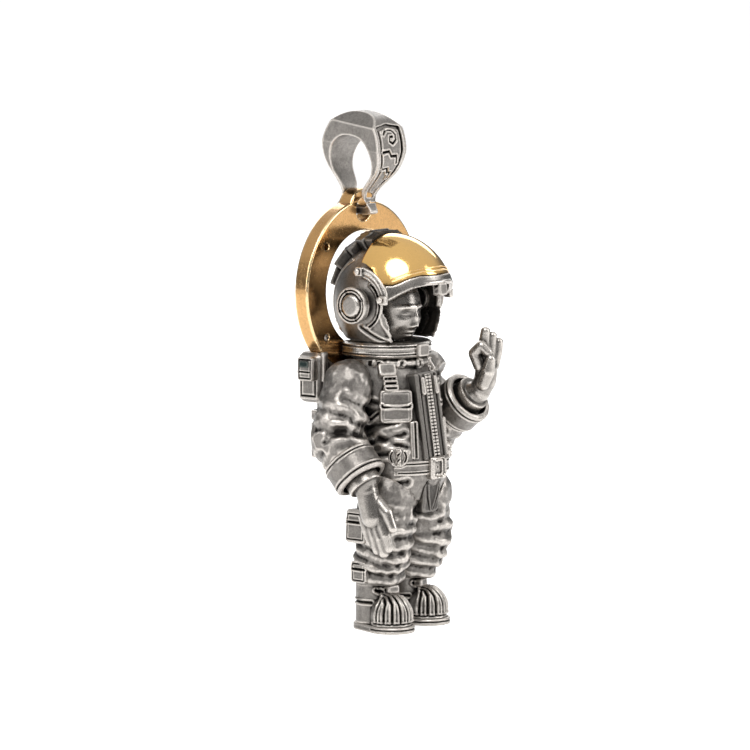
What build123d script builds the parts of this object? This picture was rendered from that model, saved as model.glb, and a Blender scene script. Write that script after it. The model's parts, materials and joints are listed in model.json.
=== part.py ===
from build123d import *
import os
from math import cos, radians, sin

# Cast astronaut pendant, in millimetres. The pieces are drawn about the neck axis
# with the soles on z = 0, -Y to the front and -X the figure's right. BOX_SHIFT then
# moves them so that the saved origin is on the floor under the middle of the box.
BOX_SHIFT = 0.70

# Fits and clearances
RUNNING_GAP = 0.05

# Ear axis: the visor turns about it, and the helmet is turned about it
EAR_Y = -0.7
EAR_Z = 38.8
HELMET_HALF_X = 6.15
HELMET_RADIUS = 7.1
HELMET_WALL = 0.6
VISOR_HALF_X = 6.75
VISOR_RADIUS = 8.15
VISOR_WALL = 0.4
FRAME_SIDE_IN = 3.5
FRAME_SIDE_OUT = 4.3
LIP_SLOPE = 33
LIP_Y = -4.5
LIP_Z = 39.55
LIP_BAND = 0.85
REAR_TILT = 7
BOSS_RADIUS = 1.3
POD_RADIUS = 2.2
POD_CAP_RADIUS = 1.37

# Neck
NECK_RING_RADIUS = 5.42
NECK_RING_LOW = 32.4
NECK_RING_HIGH = 34.2
HEAD_FLOOR = 34.35
POST_RADIUS = 2.5
POST_FLOOR = 30.2

# Halo ring
RING_Y = 4.4
RING_Z = 40.1
RING_OUTER = 10.5
RING_PIN_RADIUS = 8.75
RING_INNER = 6.9
RING_THICK = 2.0
BAIL_EYE_Z = 49.5
BAIL_EYE_RADIUS = 1.35
LUG_RADIUS = 2.5

# Torso sections: height, half width, half depth, centre in Y
TORSO_SECTIONS = [
    (15.6, 4.3, 3.6, -3.0),
    (18.5, 5.3, 4.5, -3.0),
    (21.0, 5.5, 4.7, -2.8),
    (24.5, 5.3, 4.5, -2.1),
    (28.0, 5.5, 4.3, -1.3),
    (31.0, 5.5, 3.9, -0.7),
    (33.0, 4.4, 3.5, -0.2),
]
SIDE_FLAT = 5.45

# Backpack
PACK_HALF_X = 8.4
PACK_FRONT = 3.3
PACK_BACK = 6.8
PACK_LOW = 27.0
PACK_HIGH = 33.0

# Arms
SHOULDER = (7.3, -0.1, 29.6)
SHOULDER_RADIUS = 2.85
ELBOW = (9.1, 0.2, 22.9)
ELBOW_RADIUS = 2.95
ARM_INSIDE = 5.7
CUFF_LENGTH = 3.3
CUFF_RADIUS = 3.3
CUFF_BORE = 2.55
CUFF_BORE_DEPTH = 1.1
RIGHT_CUFF_END = (-9.0, -3.7, 18.5)
LEFT_CUFF_END = (9.0, -5.6, 27.0)
SHOULDER_PIN_RADIUS = 0.8

# Legs and boots
HEM_Z = 5.6
SOLE_THICK = 0.8
ANKLE_X = 3.4
RIGHT_ANKLE_Y = -1.7
LEFT_ANKLE_Y = -0.9
SPLAY = 12

# Bail: the loop stands in the YZ plane on the ring's top
BAIL_Y = 4.4
BAIL_HALF_X = 2.75

os.makedirs("parts", exist_ok=True)


def save(solid, name):
    """Labels a finished piece, moves it into the saved frame and writes it."""
    placed = solid.moved(Location((0, BOX_SHIFT, 0)))
    placed.label = name
    export_step(placed, f"parts/{name}.step")


def flipped(solid):
    """The same piece on the figure's other side."""
    return mirror(solid, about=Plane.YZ)


def limb(points, radii):
    """A round-ended limb through the points."""
    with BuildPart() as solid:
        for start, end, r_start, r_end in zip(points, points[1:], radii, radii[1:]):
            run = Vector(*end) - Vector(*start)
            with BuildSketch(Plane(origin=start, z_dir=run)):
                Circle(r_start)
            with BuildSketch(Plane(origin=end, z_dir=run)):
                Circle(r_end)
            loft()
        for spot, radius in zip(points, radii):
            with Locations(spot):
                Sphere(radius)
    return solid.part


def plate(width, height, depth, corner, at, facing):
    """A round-cornered plate whose outer face is at a point and looks along facing."""
    across = Vector(0, 0, 1).cross(Vector(*facing))
    with BuildPart() as solid:
        with BuildSketch(Plane(origin=at, x_dir=across, z_dir=facing)):
            RectangleRounded(width, height, corner)
        extrude(amount=-depth)
        chamfer(solid.faces().sort_by(Axis(at, facing))[-1].edges(), min(corner, depth) * 0.4)
    return solid.part


def turned(half_x, radius):
    """A solid turned about the ear axis."""
    with BuildPart() as solid:
        with BuildSketch():
            Ellipse(half_x, radius)
            Rectangle(3 * half_x, 3 * radius, align=(Align.CENTER, Align.MAX), mode=Mode.SUBTRACT)
        revolve(axis=Axis.X)
    return solid.part.moved(Location((0, EAR_Y, EAR_Z)))


def ear_disc(radius, x_from, x_to):
    """A disc on the ear axis between two places in X."""
    with BuildPart() as solid:
        with BuildSketch(Plane(origin=(x_from, EAR_Y, EAR_Z), z_dir=(1, 0, 0))):
            Circle(radius)
        extrude(amount=x_to - x_from)
    return solid.part


# ---------------------------------------------------------------- torso
with BuildPart() as neck_ring_blank:
    with BuildSketch(Plane.XY.offset(NECK_RING_LOW)):
        Circle(NECK_RING_RADIUS)
    extrude(amount=NECK_RING_HIGH - NECK_RING_LOW)

with BuildPart() as torso:
    for height, half_x, half_y, middle in TORSO_SECTIONS:
        with BuildSketch(Plane(origin=(0, middle, height))):
            Ellipse(half_x, half_y)
    loft()
    split(bisect_by=Plane(origin=(SIDE_FLAT, 0, 0), z_dir=(1, 0, 0)), keep=Keep.BOTTOM)
    split(bisect_by=Plane(origin=(-SIDE_FLAT, 0, 0), z_dir=(1, 0, 0)), keep=Keep.TOP)
    add(neck_ring_blank.part, mode=Mode.SUBTRACT)
    with BuildSketch(Plane.XY.offset(POST_FLOOR - 0.2)):
        Circle(POST_RADIUS + RUNNING_GAP)
    extrude(amount=5, mode=Mode.SUBTRACT)
    with BuildSketch(Plane(origin=(-7, SHOULDER[1], SHOULDER[2]), z_dir=(1, 0, 0))):
        Circle(SHOULDER_PIN_RADIUS)
    extrude(amount=3.4, mode=Mode.SUBTRACT)
    with BuildSketch(Plane(origin=(7, SHOULDER[1], SHOULDER[2]), z_dir=(-1, 0, 0))):
        Circle(SHOULDER_PIN_RADIUS)
    extrude(amount=3.4, mode=Mode.SUBTRACT)
save(torso.part, "torso")

with BuildPart() as shoulder_pins:
    with BuildSketch(Plane(origin=(3.6, SHOULDER[1], SHOULDER[2]), z_dir=(1, 0, 0))):
        Circle(SHOULDER_PIN_RADIUS)
    extrude(amount=4.0)
    mirror(about=Plane.YZ)
save(shoulder_pins.part, "shoulder_pins")

# ---------------------------------------------------------------- neck
with BuildPart() as neck_ring:
    add(neck_ring_blank.part)
    chamfer(neck_ring.edges(), 0.25)
    with BuildSketch(Plane.XY.offset(NECK_RING_LOW)):
        Circle(3.1)
    extrude(amount=3, mode=Mode.SUBTRACT)
    split(bisect_by=Plane(origin=(0, PACK_FRONT - 0.1, 0), z_dir=(0, 1, 0)), keep=Keep.BOTTOM)
save(neck_ring.part, "neck_ring")

neck_clasp = plate(1.9, 1.5, 0.9, 0.25, (0, -NECK_RING_RADIUS - 0.45, 33.3), (0, -1, 0))
neck_clasp = neck_clasp - neck_ring_blank.part
save(neck_clasp, "neck_clasp")

with BuildPart() as collar_roll:
    with BuildSketch(Plane.XZ):
        with Locations((4.35, 31.75)):
            Ellipse(0.9, 0.62)
    revolve(axis=Axis.Z)
    add(torso.part, mode=Mode.SUBTRACT)
    split(bisect_by=Plane(origin=(0, 2.2, 0), z_dir=(0, 1, 0)), keep=Keep.BOTTOM)
collar_solid = collar_roll.part.solids().sort_by(SortBy.VOLUME)[-1]
save(collar_solid, "collar_roll")

# ---------------------------------------------------------------- torso trim
placket = plate(4.0, 10.4, 1.6, 0.3, (0, -6.9, 25.6), (0, -1, 0.16)) - torso.part - collar_solid
placket = placket.solids().sort_by(SortBy.VOLUME)[-1]
save(placket, "placket")

zip_strip = plate(1.1, 10.0, 0.5, 0.15, (0, -7.15, 25.6), (0, -1, 0.16)) - placket - torso.part
zip_solid = zip_strip.solids().sort_by(SortBy.VOLUME)[-1]
save(zip_solid, "zip_strip")

with BuildPart() as zip_pulls:
    for side in (-1, 1):
        add(limb([(side * 1.15, -6.45, 30.0), (side * 1.2, -6.75, 28.4)], [0.26, 0.3]))
    add(placket, mode=Mode.SUBTRACT)
    add(torso.part, mode=Mode.SUBTRACT)
save(zip_pulls.part, "zip_pulls")

POUCH_AT = (-4.15, -4.9, 26.9)
POUCH_FACING = (-0.66, -0.75, 0.1)
pouch = plate(3.9, 3.9, 1.9, 0.5, POUCH_AT, POUCH_FACING) - torso.part - placket
pouch = pouch.solids().sort_by(SortBy.VOLUME)[-1]
save(pouch, "chest_pouch_right")
save(flipped(pouch), "chest_pouch_left")

STRAP_AT = (-4.05, -3.9, 30.4)
STRAP_FACING = (-0.5, -0.72, 0.48)
strap = plate(1.6, 3.4, 1.3, 0.2, STRAP_AT, STRAP_FACING) - torso.part - pouch - collar_solid
strap = strap.solids().sort_by(SortBy.VOLUME)[-1]
save(strap, "chest_strap_right")
save(flipped(strap), "chest_strap_left")

BUCKLE_AT = (-4.35, -3.75, 31.3)
buckle = plate(2.1, 1.5, 1.0, 0.25, BUCKLE_AT, STRAP_FACING) - torso.part - strap - collar_solid
buckle = buckle.solids().sort_by(SortBy.VOLUME)[-1]
save(buckle, "strap_buckle_right")
save(flipped(buckle), "strap_buckle_left")

lower_strap = plate(1.0, 4.4, 1.4, 0.2, (-2.9, -6.75, 22.9), (-0.42, -0.9, 0.08))
lower_strap = (lower_strap - torso.part - placket - pouch).solids().sort_by(SortBy.VOLUME)[-1]
save(lower_strap, "lower_strap_right")
save(flipped(lower_strap), "lower_strap_left")

DIAL_AT = (-4.75, -5.7, 21.0)
DIAL_FACING = (-0.74, -0.67, 0.0)
with BuildPart() as hip_dial:
    with BuildSketch(Plane(origin=DIAL_AT, z_dir=DIAL_FACING)):
        Circle(1.2)
    extrude(amount=-1.6)
    with BuildSketch(Plane(origin=DIAL_AT, z_dir=DIAL_FACING)):
        Rectangle(0.45, 1.9)
    extrude(amount=0.3)
    add(torso.part, mode=Mode.SUBTRACT)
save(hip_dial.part, "hip_dial_right")
save(flipped(hip_dial.part), "hip_dial_left")

with BuildPart() as belt:
    with BuildSketch(Plane(origin=(0, -2.85, 18.75))):
        Ellipse(5.75, 4.95)
    extrude(amount=1.7)
    split(bisect_by=Plane(origin=(0, -5.2, 0), z_dir=(0, 1, 0)), keep=Keep.BOTTOM)
    add(torso.part, mode=Mode.SUBTRACT)
    add(placket, mode=Mode.SUBTRACT)
    add(hip_dial.part, mode=Mode.SUBTRACT)
    add(flipped(hip_dial.part), mode=Mode.SUBTRACT)
belt_solid = belt.part.solids().sort_by(SortBy.VOLUME)[-1]
save(belt_solid, "belt")

with BuildPart() as belt_buckle:
    add(plate(2.9, 2.7, 1.2, 0.35, (0, -8.15, 19.5), (0, -1, 0)))
    with BuildSketch(Plane(origin=(0, -8.15, 19.5), z_dir=(0, -1, 0))):
        RectangleRounded(1.7, 1.5, 0.2)
    extrude(amount=-0.3, mode=Mode.SUBTRACT)
    add(torso.part, mode=Mode.SUBTRACT)
    add(belt_solid, mode=Mode.SUBTRACT)
    add(placket, mode=Mode.SUBTRACT)
    add(zip_solid, mode=Mode.SUBTRACT)
save(belt_buckle.part.solids().sort_by(SortBy.VOLUME)[-1], "belt_buckle")
buckle_solid = belt_buckle.part.solids().sort_by(SortBy.VOLUME)[-1]

# ---------------------------------------------------------------- legs and boots


def boot_parts(side, ankle_y):
    """Sole and boot upper, splayed about the ankle."""
    with BuildPart() as sole:
        with BuildSketch():
            with Locations((0, -2.4)):
                Circle(2.7)
            with Locations((0, 1.2)):
                Circle(2.3)
            make_hull()
        extrude(amount=SOLE_THICK)
        fillet(sole.edges().group_by(Axis.Z)[-1], 0.2)
    with BuildPart() as upper:
        with Locations((0, -2.3, 1.9)):
            Sphere(2.5)
        with BuildSketch(Plane.XY.offset(SOLE_THICK)):
            with Locations((0, 0.7)):
                Circle(2.35)
        extrude(amount=HEM_Z - SOLE_THICK)
        split(bisect_by=Plane.XY.offset(SOLE_THICK), keep=Keep.TOP)
    place = Location((side * ANKLE_X, ankle_y, 0), (0, 0, side * SPLAY))
    return sole.part.moved(place), upper.part.moved(place)


def trouser_leg(side, ankle_y):
    """A trouser leg from the hip to the hem, resting on the boot."""
    with BuildPart() as leg:
        add(limb(
            [
                (side * 3.3, -2.9, 15.9),
                (side * 3.65, (ankle_y - 2.9) / 2 - 0.4, 10.6),
                (side * 3.55, ankle_y - 0.1, 7.2),
            ],
            [3.5, 3.25, 3.1],
        ))
        split(bisect_by=Plane.XY.offset(HEM_Z), keep=Keep.TOP)
        inner = Plane(origin=(side * 0.03, 0, 0), z_dir=(side, 0, 0))
        split(bisect_by=inner, keep=Keep.TOP)
        add(torso.part, mode=Mode.SUBTRACT)
        add(belt_solid, mode=Mode.SUBTRACT)
        add(buckle_solid, mode=Mode.SUBTRACT)
    return leg.part.solids().sort_by(SortBy.VOLUME)[-1]


legs = {}
ankle_bands = []
for side, word, ankle_y in ((-1, "right", RIGHT_ANKLE_Y), (1, "left", LEFT_ANKLE_Y)):
    sole_solid, upper_solid = boot_parts(side, ankle_y)
    save(sole_solid, f"sole_{word}")
    save(upper_solid, f"boot_{word}")
    leg_solid = trouser_leg(side, ankle_y)
    legs[word] = leg_solid
    save(leg_solid, f"leg_{word}")
    thigh = plate(3.0, 4.0, 1.8, 0.4, (side * 7.45, -1.3, 12.7), (side, 0.05, 0.06)) - leg_solid
    save(thigh.solids().sort_by(SortBy.VOLUME)[-1], f"thigh_pocket_{word}")
    calf = plate(2.4, 2.6, 1.4, 0.35, (side * 7.05, ankle_y + 0.3, 7.2), (side, 0.1, 0)) - leg_solid
    save(calf.solids().sort_by(SortBy.VOLUME)[-1], f"calf_pocket_{word}")
    strap_turn = Location((side * ANKLE_X, ankle_y, 0), (0, 0, side * SPLAY))
    band = plate(1.7, 1.0, 1.3, 0.25, (-side * 0.5, -2.25, 4.95), (0, -1, 0.1)).moved(strap_turn)
    ankle_bands.append((band - upper_solid - leg_solid).solids().sort_by(SortBy.VOLUME)[-1])

with BuildPart() as ankle_buckles:
    for band in ankle_bands:
        add(band)
save(ankle_buckles.part, "ankle_buckles")

groin = plate(3.0, 4.4, 1.5, 0.6, (0, -7.1, 16.2), (0, -1, -0.12))
groin = groin - torso.part - legs["right"] - legs["left"] - belt_solid - buckle_solid
save(groin.solids().sort_by(SortBy.VOLUME)[-1], "groin_panel")

# ---------------------------------------------------------------- halo ring and backpack
ring_back = Plane(origin=(0, RING_Y + RING_THICK / 2, RING_Z), x_dir=(1, 0, 0), z_dir=(0, -1, 0))
with BuildPart() as halo_ring:
    with BuildSketch(ring_back):
        Circle(RING_OUTER)
        with Locations((0, BAIL_EYE_Z - RING_Z)):
            Circle(LUG_RADIUS)
        Circle(RING_INNER, mode=Mode.SUBTRACT)
    extrude(amount=RING_THICK)
    chamfer(halo_ring.edges().filter_by(GeomType.CIRCLE), 0.12)
    with BuildSketch(Plane(origin=(0, RING_Y + 2, BAIL_EYE_Z), z_dir=(0, -1, 0))):
        Circle(BAIL_EYE_RADIUS)
    extrude(amount=4, mode=Mode.SUBTRACT)
    for angle in (38, 142, -38, -142):
        spot_x = RING_PIN_RADIUS * cos(radians(angle))
        spot_z = RING_Z + RING_PIN_RADIUS * sin(radians(angle))
        with BuildSketch(Plane(origin=(spot_x, RING_Y + 2, spot_z), z_dir=(0, -1, 0))):
            Circle(0.42)
        extrude(amount=4, mode=Mode.SUBTRACT)
save(halo_ring.part, "halo_ring")

with BuildPart() as ring_pins:
    for angle in (-38, -142):
        spot_x = RING_PIN_RADIUS * cos(radians(angle))
        spot_z = RING_Z + RING_PIN_RADIUS * sin(radians(angle))
        with BuildSketch(Plane(origin=(spot_x, RING_Y + 1.0, spot_z), z_dir=(0, -1, 0))):
            Circle(0.42)
        extrude(amount=2.0)
save(ring_pins.part, "ring_pins")

pack_middle = (PACK_FRONT + PACK_BACK) / 2
with BuildPart() as backpack:
    with BuildSketch(Plane(origin=(0, pack_middle, PACK_LOW))):
        RectangleRounded(2 * PACK_HALF_X, PACK_BACK - PACK_FRONT, 0.8)
    extrude(amount=PACK_HIGH - PACK_LOW)
    chamfer(backpack.edges().group_by(Axis.Z)[-1], 0.5)
    chamfer(backpack.edges().group_by(Axis.Z)[0], 0.5)
    with BuildSketch(ring_back):
        Circle(RING_OUTER)
    extrude(amount=RING_THICK, mode=Mode.SUBTRACT)
    add(torso.part, mode=Mode.SUBTRACT)
    add(neck_ring_blank.part, mode=Mode.SUBTRACT)
    add(ring_pins.part, mode=Mode.SUBTRACT)
pack_solid = backpack.part.solids().sort_by(SortBy.VOLUME)[-1]
save(pack_solid, "backpack")

control_box = plate(2.4, 2.9, 1.0, 0.45, (-PACK_HALF_X - 0.95, 4.8, 31.1), (-1, 0, 0)) - pack_solid
save(control_box.solids().sort_by(SortBy.VOLUME)[-1], "control_box")
screen = plate(1.4, 0.8, 0.25, 0.08, (-PACK_HALF_X - 1.2, 4.8, 31.7), (-1, 0, 0)) - control_box
save(screen.solids().sort_by(SortBy.VOLUME)[-1], "control_screen")

with BuildPart() as pack_rails:
    for side in (-1, 1):
        with BuildSketch(Plane(origin=(side * 7.6, PACK_FRONT - 0.1, 29.6))):
            RectangleRounded(0.9, 0.6, 0.15)
        extrude(amount=3.5)
    add(pack_solid, mode=Mode.SUBTRACT)
    add(halo_ring.part, mode=Mode.SUBTRACT)
save(pack_rails.part, "pack_rails")

HOSE_RIBS = 4
HOSE_TOP = 26.1
HOSE_PITCH = 1.5
with BuildPart() as hose_stack:
    with BuildSketch(Plane(origin=(0, 4.9, 20.6))):
        RectangleRounded(12.4, 2.4, 1.1)
    extrude(amount=PACK_LOW - 20.6)
    for rib in range(HOSE_RIBS):
        with BuildSketch(Plane(origin=(0, 4.9, HOSE_TOP - (rib + 0.92) * HOSE_PITCH))):
            RectangleRounded(13.6, 3.6, 1.5)
        extrude(amount=1.15)
    add(torso.part, mode=Mode.SUBTRACT)
    add(pack_solid, mode=Mode.SUBTRACT)
hose_solid = hose_stack.part.solids().sort_by(SortBy.VOLUME)[-1]
save(hose_solid, "hose_stack")

with BuildPart() as hose_bracket:
    with BuildSketch(Plane(origin=(0, 2.9, 22.0))):
        RectangleRounded(4.0, 2.6, 0.4)
    extrude(amount=2.0)
    add(torso.part, mode=Mode.SUBTRACT)
    add(hose_solid, mode=Mode.SUBTRACT)
bracket_solid = hose_bracket.part.solids().sort_by(SortBy.VOLUME)[-1]
save(bracket_solid, "hose_bracket")

# ---------------------------------------------------------------- helmet and head
OPENING = [(0, 43.6), (4.2, 43.2), (5.35, 40.4), (5.4, 38.0), (4.5, 35.6), (3.4, HEAD_FLOOR - 1)]

with BuildPart() as face_window:
    with BuildSketch(Plane.XZ):
        with BuildLine():
            Polyline(OPENING + [(0, HEAD_FLOOR - 1), (0, 43.6)])
        make_face()
        mirror(about=Plane.YZ)
    extrude(amount=12)

helmet_outer = turned(HELMET_HALF_X, HELMET_RADIUS)
helmet_inner = turned(HELMET_HALF_X - HELMET_WALL, HELMET_RADIUS - HELMET_WALL)
liner_inner = turned(HELMET_HALF_X - HELMET_WALL - 0.35, HELMET_RADIUS - HELMET_WALL - 0.45)

with BuildPart() as ear_pod:
    add(ear_disc(BOSS_RADIUS, -6.75, -5.2))
    add(ear_disc(POD_RADIUS, -7.45, -6.7))
    chamfer(ear_pod.edges().group_by(Axis.X)[0], 0.2)
    add(ear_disc(POD_CAP_RADIUS + 0.25, -7.6, -7.15), mode=Mode.SUBTRACT)
with BuildPart() as ear_cap:
    add(ear_disc(POD_CAP_RADIUS, -7.75, -7.15))
    fillet(ear_cap.edges().group_by(Axis.X)[0], 0.35)

with BuildPart() as helmet_shell:
    add(helmet_outer)
    add(helmet_inner, mode=Mode.SUBTRACT)
    add(face_window.part, mode=Mode.SUBTRACT)
    split(bisect_by=Plane.XY.offset(HEAD_FLOOR), keep=Keep.TOP)
    add(ear_pod.part, mode=Mode.SUBTRACT)
    add(flipped(ear_pod.part), mode=Mode.SUBTRACT)
shell_solid = helmet_shell.part.solids().sort_by(SortBy.VOLUME)[-1]
save(shell_solid, "helmet_shell")

with BuildPart() as hood_liner:
    add(helmet_inner)
    add(liner_inner, mode=Mode.SUBTRACT)
    add(face_window.part, mode=Mode.SUBTRACT)
    split(bisect_by=Plane.XY.offset(HEAD_FLOOR + 0.1), keep=Keep.TOP)
    add(ear_pod.part, mode=Mode.SUBTRACT)
    add(flipped(ear_pod.part), mode=Mode.SUBTRACT)
liner_solid = hood_liner.part.solids().sort_by(SortBy.VOLUME)[-1]
save(liner_solid, "hood_liner")

pod_solid = ear_pod.part - liner_inner
save(pod_solid, "ear_pod_right")
save(flipped(pod_solid), "ear_pod_left")
with BuildPart() as ear_caps:
    add(ear_cap.part)
    mirror(about=Plane.YZ)
save(ear_caps.part, "ear_caps")

with BuildPart() as face:
    with BuildSketch(Plane.XY):
        Ellipse(3.9, 4.9)
        Rectangle(9, 11, align=(Align.MAX, Align.CENTER), mode=Mode.SUBTRACT)
    revolve(axis=Axis.Y)
with BuildPart() as face_mask:
    add(face.part.moved(Location((0, -0.4, 38.6), (90, 0, 0))))
    with Locations((0, -4.35, 37.6)):
        Sphere(0.85)
    with BuildSketch(Plane.XY.offset(POST_FLOOR)):
        Circle(POST_RADIUS)
    extrude(amount=5)
    add(shell_solid, mode=Mode.SUBTRACT)
    add(liner_solid, mode=Mode.SUBTRACT)
    add(pod_solid, mode=Mode.SUBTRACT)
    add(flipped(pod_solid), mode=Mode.SUBTRACT)
save(face_mask.part.solids().sort_by(SortBy.VOLUME)[-1], "face_mask")

rear_plane = Plane(
    origin=(0, EAR_Y, EAR_Z),
    z_dir=(0, -cos(radians(REAR_TILT)), sin(radians(REAR_TILT))),
)
with BuildPart() as crest:
    add(turned(8.0, 8.55))
    with BuildSketch(Plane.YZ):
        with BuildLine():
            Polyline(
                (EAR_Y + 0.25, EAR_Z + 4), (EAR_Y + 0.25, EAR_Z + 9), (EAR_Y + 9, EAR_Z + 9),
                (EAR_Y + 9, EAR_Z + 1.6), (EAR_Y + 4, EAR_Z + 1.6), (EAR_Y + 0.25, EAR_Z + 4),
            )
        make_face()
    extrude(amount=3.1, both=True, mode=Mode.INTERSECT)
    split(bisect_by=rear_plane.offset(-0.2), keep=Keep.BOTTOM)
    add(helmet_outer, mode=Mode.SUBTRACT)
    with BuildSketch(Plane(origin=(0, RING_Y - 1.35, RING_Z), z_dir=(0, 1, 0))):
        Circle(14)
        Circle(6.35, mode=Mode.SUBTRACT)
    extrude(amount=6, mode=Mode.SUBTRACT)
save(crest.part.solids().sort_by(SortBy.VOLUME)[-1], "crest_plates")

# ---------------------------------------------------------------- visor, at rest raised
lip_plane = Plane(
    origin=(0, LIP_Y, LIP_Z),
    z_dir=(0, sin(radians(LIP_SLOPE)), cos(radians(LIP_SLOPE))),
)
band_plane = lip_plane.offset(-LIP_BAND)
visor_outer = turned(VISOR_HALF_X, VISOR_RADIUS)
visor_inner = turned(VISOR_HALF_X - VISOR_WALL, VISOR_RADIUS - VISOR_WALL - 0.25)

with BuildPart() as visor_dome:
    add(visor_outer)
    add(visor_inner, mode=Mode.SUBTRACT)
    split(bisect_by=lip_plane, keep=Keep.TOP)
    split(bisect_by=rear_plane, keep=Keep.TOP)
    add(ear_disc(FRAME_SIDE_OUT, -9, 9), mode=Mode.SUBTRACT)
save(visor_dome.part.solids().sort_by(SortBy.VOLUME)[-1], "visor_dome")

with BuildPart() as visor_band:
    add(turned(VISOR_HALF_X + 0.02, VISOR_RADIUS + 0.05))
    add(visor_inner, mode=Mode.SUBTRACT)
    split(bisect_by=band_plane, keep=Keep.TOP)
    split(bisect_by=lip_plane, keep=Keep.BOTTOM)
    add(ear_disc(FRAME_SIDE_OUT - 0.15, -9, 9), mode=Mode.SUBTRACT)
    split(bisect_by=Plane(origin=(0, EAR_Y, 0), z_dir=(0, 1, 0)), keep=Keep.BOTTOM)

with BuildPart() as side_rail:
    add(ear_disc(FRAME_SIDE_OUT, -6.45, -5.45))
    add(ear_disc(FRAME_SIDE_IN, -7, -5), mode=Mode.SUBTRACT)
    split(bisect_by=rear_plane, keep=Keep.TOP)
    split(bisect_by=band_plane, keep=Keep.TOP)
with BuildPart() as side_arm:
    add(ear_disc(BOSS_RADIUS + 0.75, -6.62, -6.25))
    with BuildSketch(Plane(origin=(-6.62, EAR_Y - 1.2, EAR_Z + 2.3), x_dir=(0, 1, 0), z_dir=(1, 0, 0))):
        Rectangle(1.5, 4.6, rotation=-28)
    extrude(amount=0.37)
    add(ear_disc(BOSS_RADIUS + RUNNING_GAP, -7, -6), mode=Mode.SUBTRACT)
with BuildPart() as visor_frame:
    add(visor_band.part)
    for side_part in (side_rail.part, side_arm.part):
        add(side_part)
        add(flipped(side_part))
    add(visor_dome.part, mode=Mode.SUBTRACT)
save(visor_frame.part, "visor_frame")

latch = plate(1.5, 1.5, 1.1, 0.3, (0, -8.75, 40.75), (0, -0.95, 0.1)) - visor_frame.part - visor_dome.part
save(latch.solids().sort_by(SortBy.VOLUME)[-1], "visor_latch")

with BuildPart() as frame_studs:
    for spot_y, spot_z in ((-4.35, 39.6), (-0.95, 42.75)):
        for side in (-1, 1):
            with BuildSketch(Plane(origin=(side * 6.45, spot_y, spot_z), z_dir=(side, 0, 0))):
                Circle(0.42)
            extrude(amount=0.4)
    add(visor_frame.part, mode=Mode.SUBTRACT)
save(frame_studs.part, "frame_studs")

# ---------------------------------------------------------------- arms


def along(start, end, distance):
    """The point at a distance back from end, towards start."""
    run = (Vector(*end) - Vector(*start)).normalized()
    return tuple(Vector(*end) - run * distance)


def arm_parts(side, cuff_end):
    """Sleeve and cuff of one arm; side is -1 on the figure's right."""
    shoulder = (side * SHOULDER[0], SHOULDER[1], SHOULDER[2])
    elbow = (side * ELBOW[0], ELBOW[1], ELBOW[2])
    cuff_start = along(elbow, cuff_end, CUFF_LENGTH)
    run = Vector(*cuff_end) - Vector(*cuff_start)
    with BuildPart() as cuff:
        with BuildSketch(Plane(origin=cuff_start, z_dir=run)):
            Circle(CUFF_RADIUS - 0.1)
        extrude(amount=CUFF_LENGTH)
        chamfer(cuff.edges(), 0.25)
        with BuildSketch(Plane(origin=cuff_end, z_dir=run)):
            Circle(CUFF_BORE)
        extrude(amount=-CUFF_BORE_DEPTH, mode=Mode.SUBTRACT)
    with BuildPart() as sleeve:
        add(limb([shoulder, elbow, cuff_start], [SHOULDER_RADIUS, ELBOW_RADIUS, 2.8]))
        split(
            bisect_by=Plane(origin=(side * ARM_INSIDE, 0, 0), z_dir=(side, 0, 0)),
            keep=Keep.TOP,
        )
        with BuildSketch(Plane(origin=cuff_start, z_dir=run)):
            Circle(5)
        extrude(amount=8, mode=Mode.SUBTRACT)
        with BuildSketch(Plane(origin=(0, SHOULDER[1], SHOULDER[2]), z_dir=(side, 0, 0))):
            Circle(SHOULDER_PIN_RADIUS + RUNNING_GAP)
        extrude(amount=7.8, mode=Mode.SUBTRACT)
    return sleeve.part, cuff.part


def glove(cuff_end, run, wrist, palm, fingers, thumb, cuff):
    """A glove: wrist roll in the cuff, palm, four fingers and a thumb."""
    with BuildPart() as solid:
        with BuildSketch(Plane(origin=cuff_end, z_dir=run)):
            Circle(2.1)
        extrude(amount=-CUFF_BORE_DEPTH)
        with BuildSketch(Plane(origin=cuff_end, z_dir=run)):
            Circle(2.1)
        extrude(amount=0.9)
        add(limb([cuff_end, wrist], [1.75, 1.35]))
        add(limb([wrist] + palm, [1.3] + [1.35] * len(palm)))
        for finger in fingers:
            add(limb(finger, [0.72] * (len(finger) - 1) + [0.58]))
        add(limb(thumb, [0.8] * (len(thumb) - 1) + [0.6]))
        add(cuff, mode=Mode.SUBTRACT)
    return solid.part.solids().sort_by(SortBy.VOLUME)[-1]


# Right hand hangs open; left hand is raised with thumb and forefinger closed
RIGHT_PALM = [(-8.8, -4.7, 15.6), (-8.75, -5.1, 14.2)]
RIGHT_FINGERS = [
    [(-8.6, -5.9, 14.2), (-8.45, -6.7, 12.2), (-8.3, -7.0, 10.7)],
    [(-8.7, -5.3, 13.8), (-8.6, -6.1, 11.8), (-8.45, -6.5, 10.1)],
    [(-8.8, -4.6, 13.8), (-8.7, -5.3, 11.9), (-8.6, -5.7, 10.4)],
    [(-8.85, -3.9, 14.2), (-8.8, -4.4, 12.6), (-8.7, -4.8, 11.3)],
]
RIGHT_THUMB = [(-8.4, -5.3, 16.2), (-8.2, -6.7, 14.8), (-8.1, -7.5, 13.1)]
LEFT_PALM = [(9.3, -7.7, 29.0), (9.4, -7.8, 30.4)]
LEFT_FINGERS = [
    [(8.4, -7.5, 30.8), (7.95, -7.1, 32.3), (8.2, -8.0, 33.2), (8.45, -8.8, 32.5)],
    [(9.1, -7.7, 31.4), (9.2, -7.6, 33.4), (9.2, -7.8, 34.9)],
    [(9.9, -7.8, 31.2), (10.1, -7.9, 33.0), (10.15, -8.1, 34.3)],
    [(10.5, -8.0, 30.7), (10.9, -8.2, 32.4), (11.0, -8.4, 33.5)],
]
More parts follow.
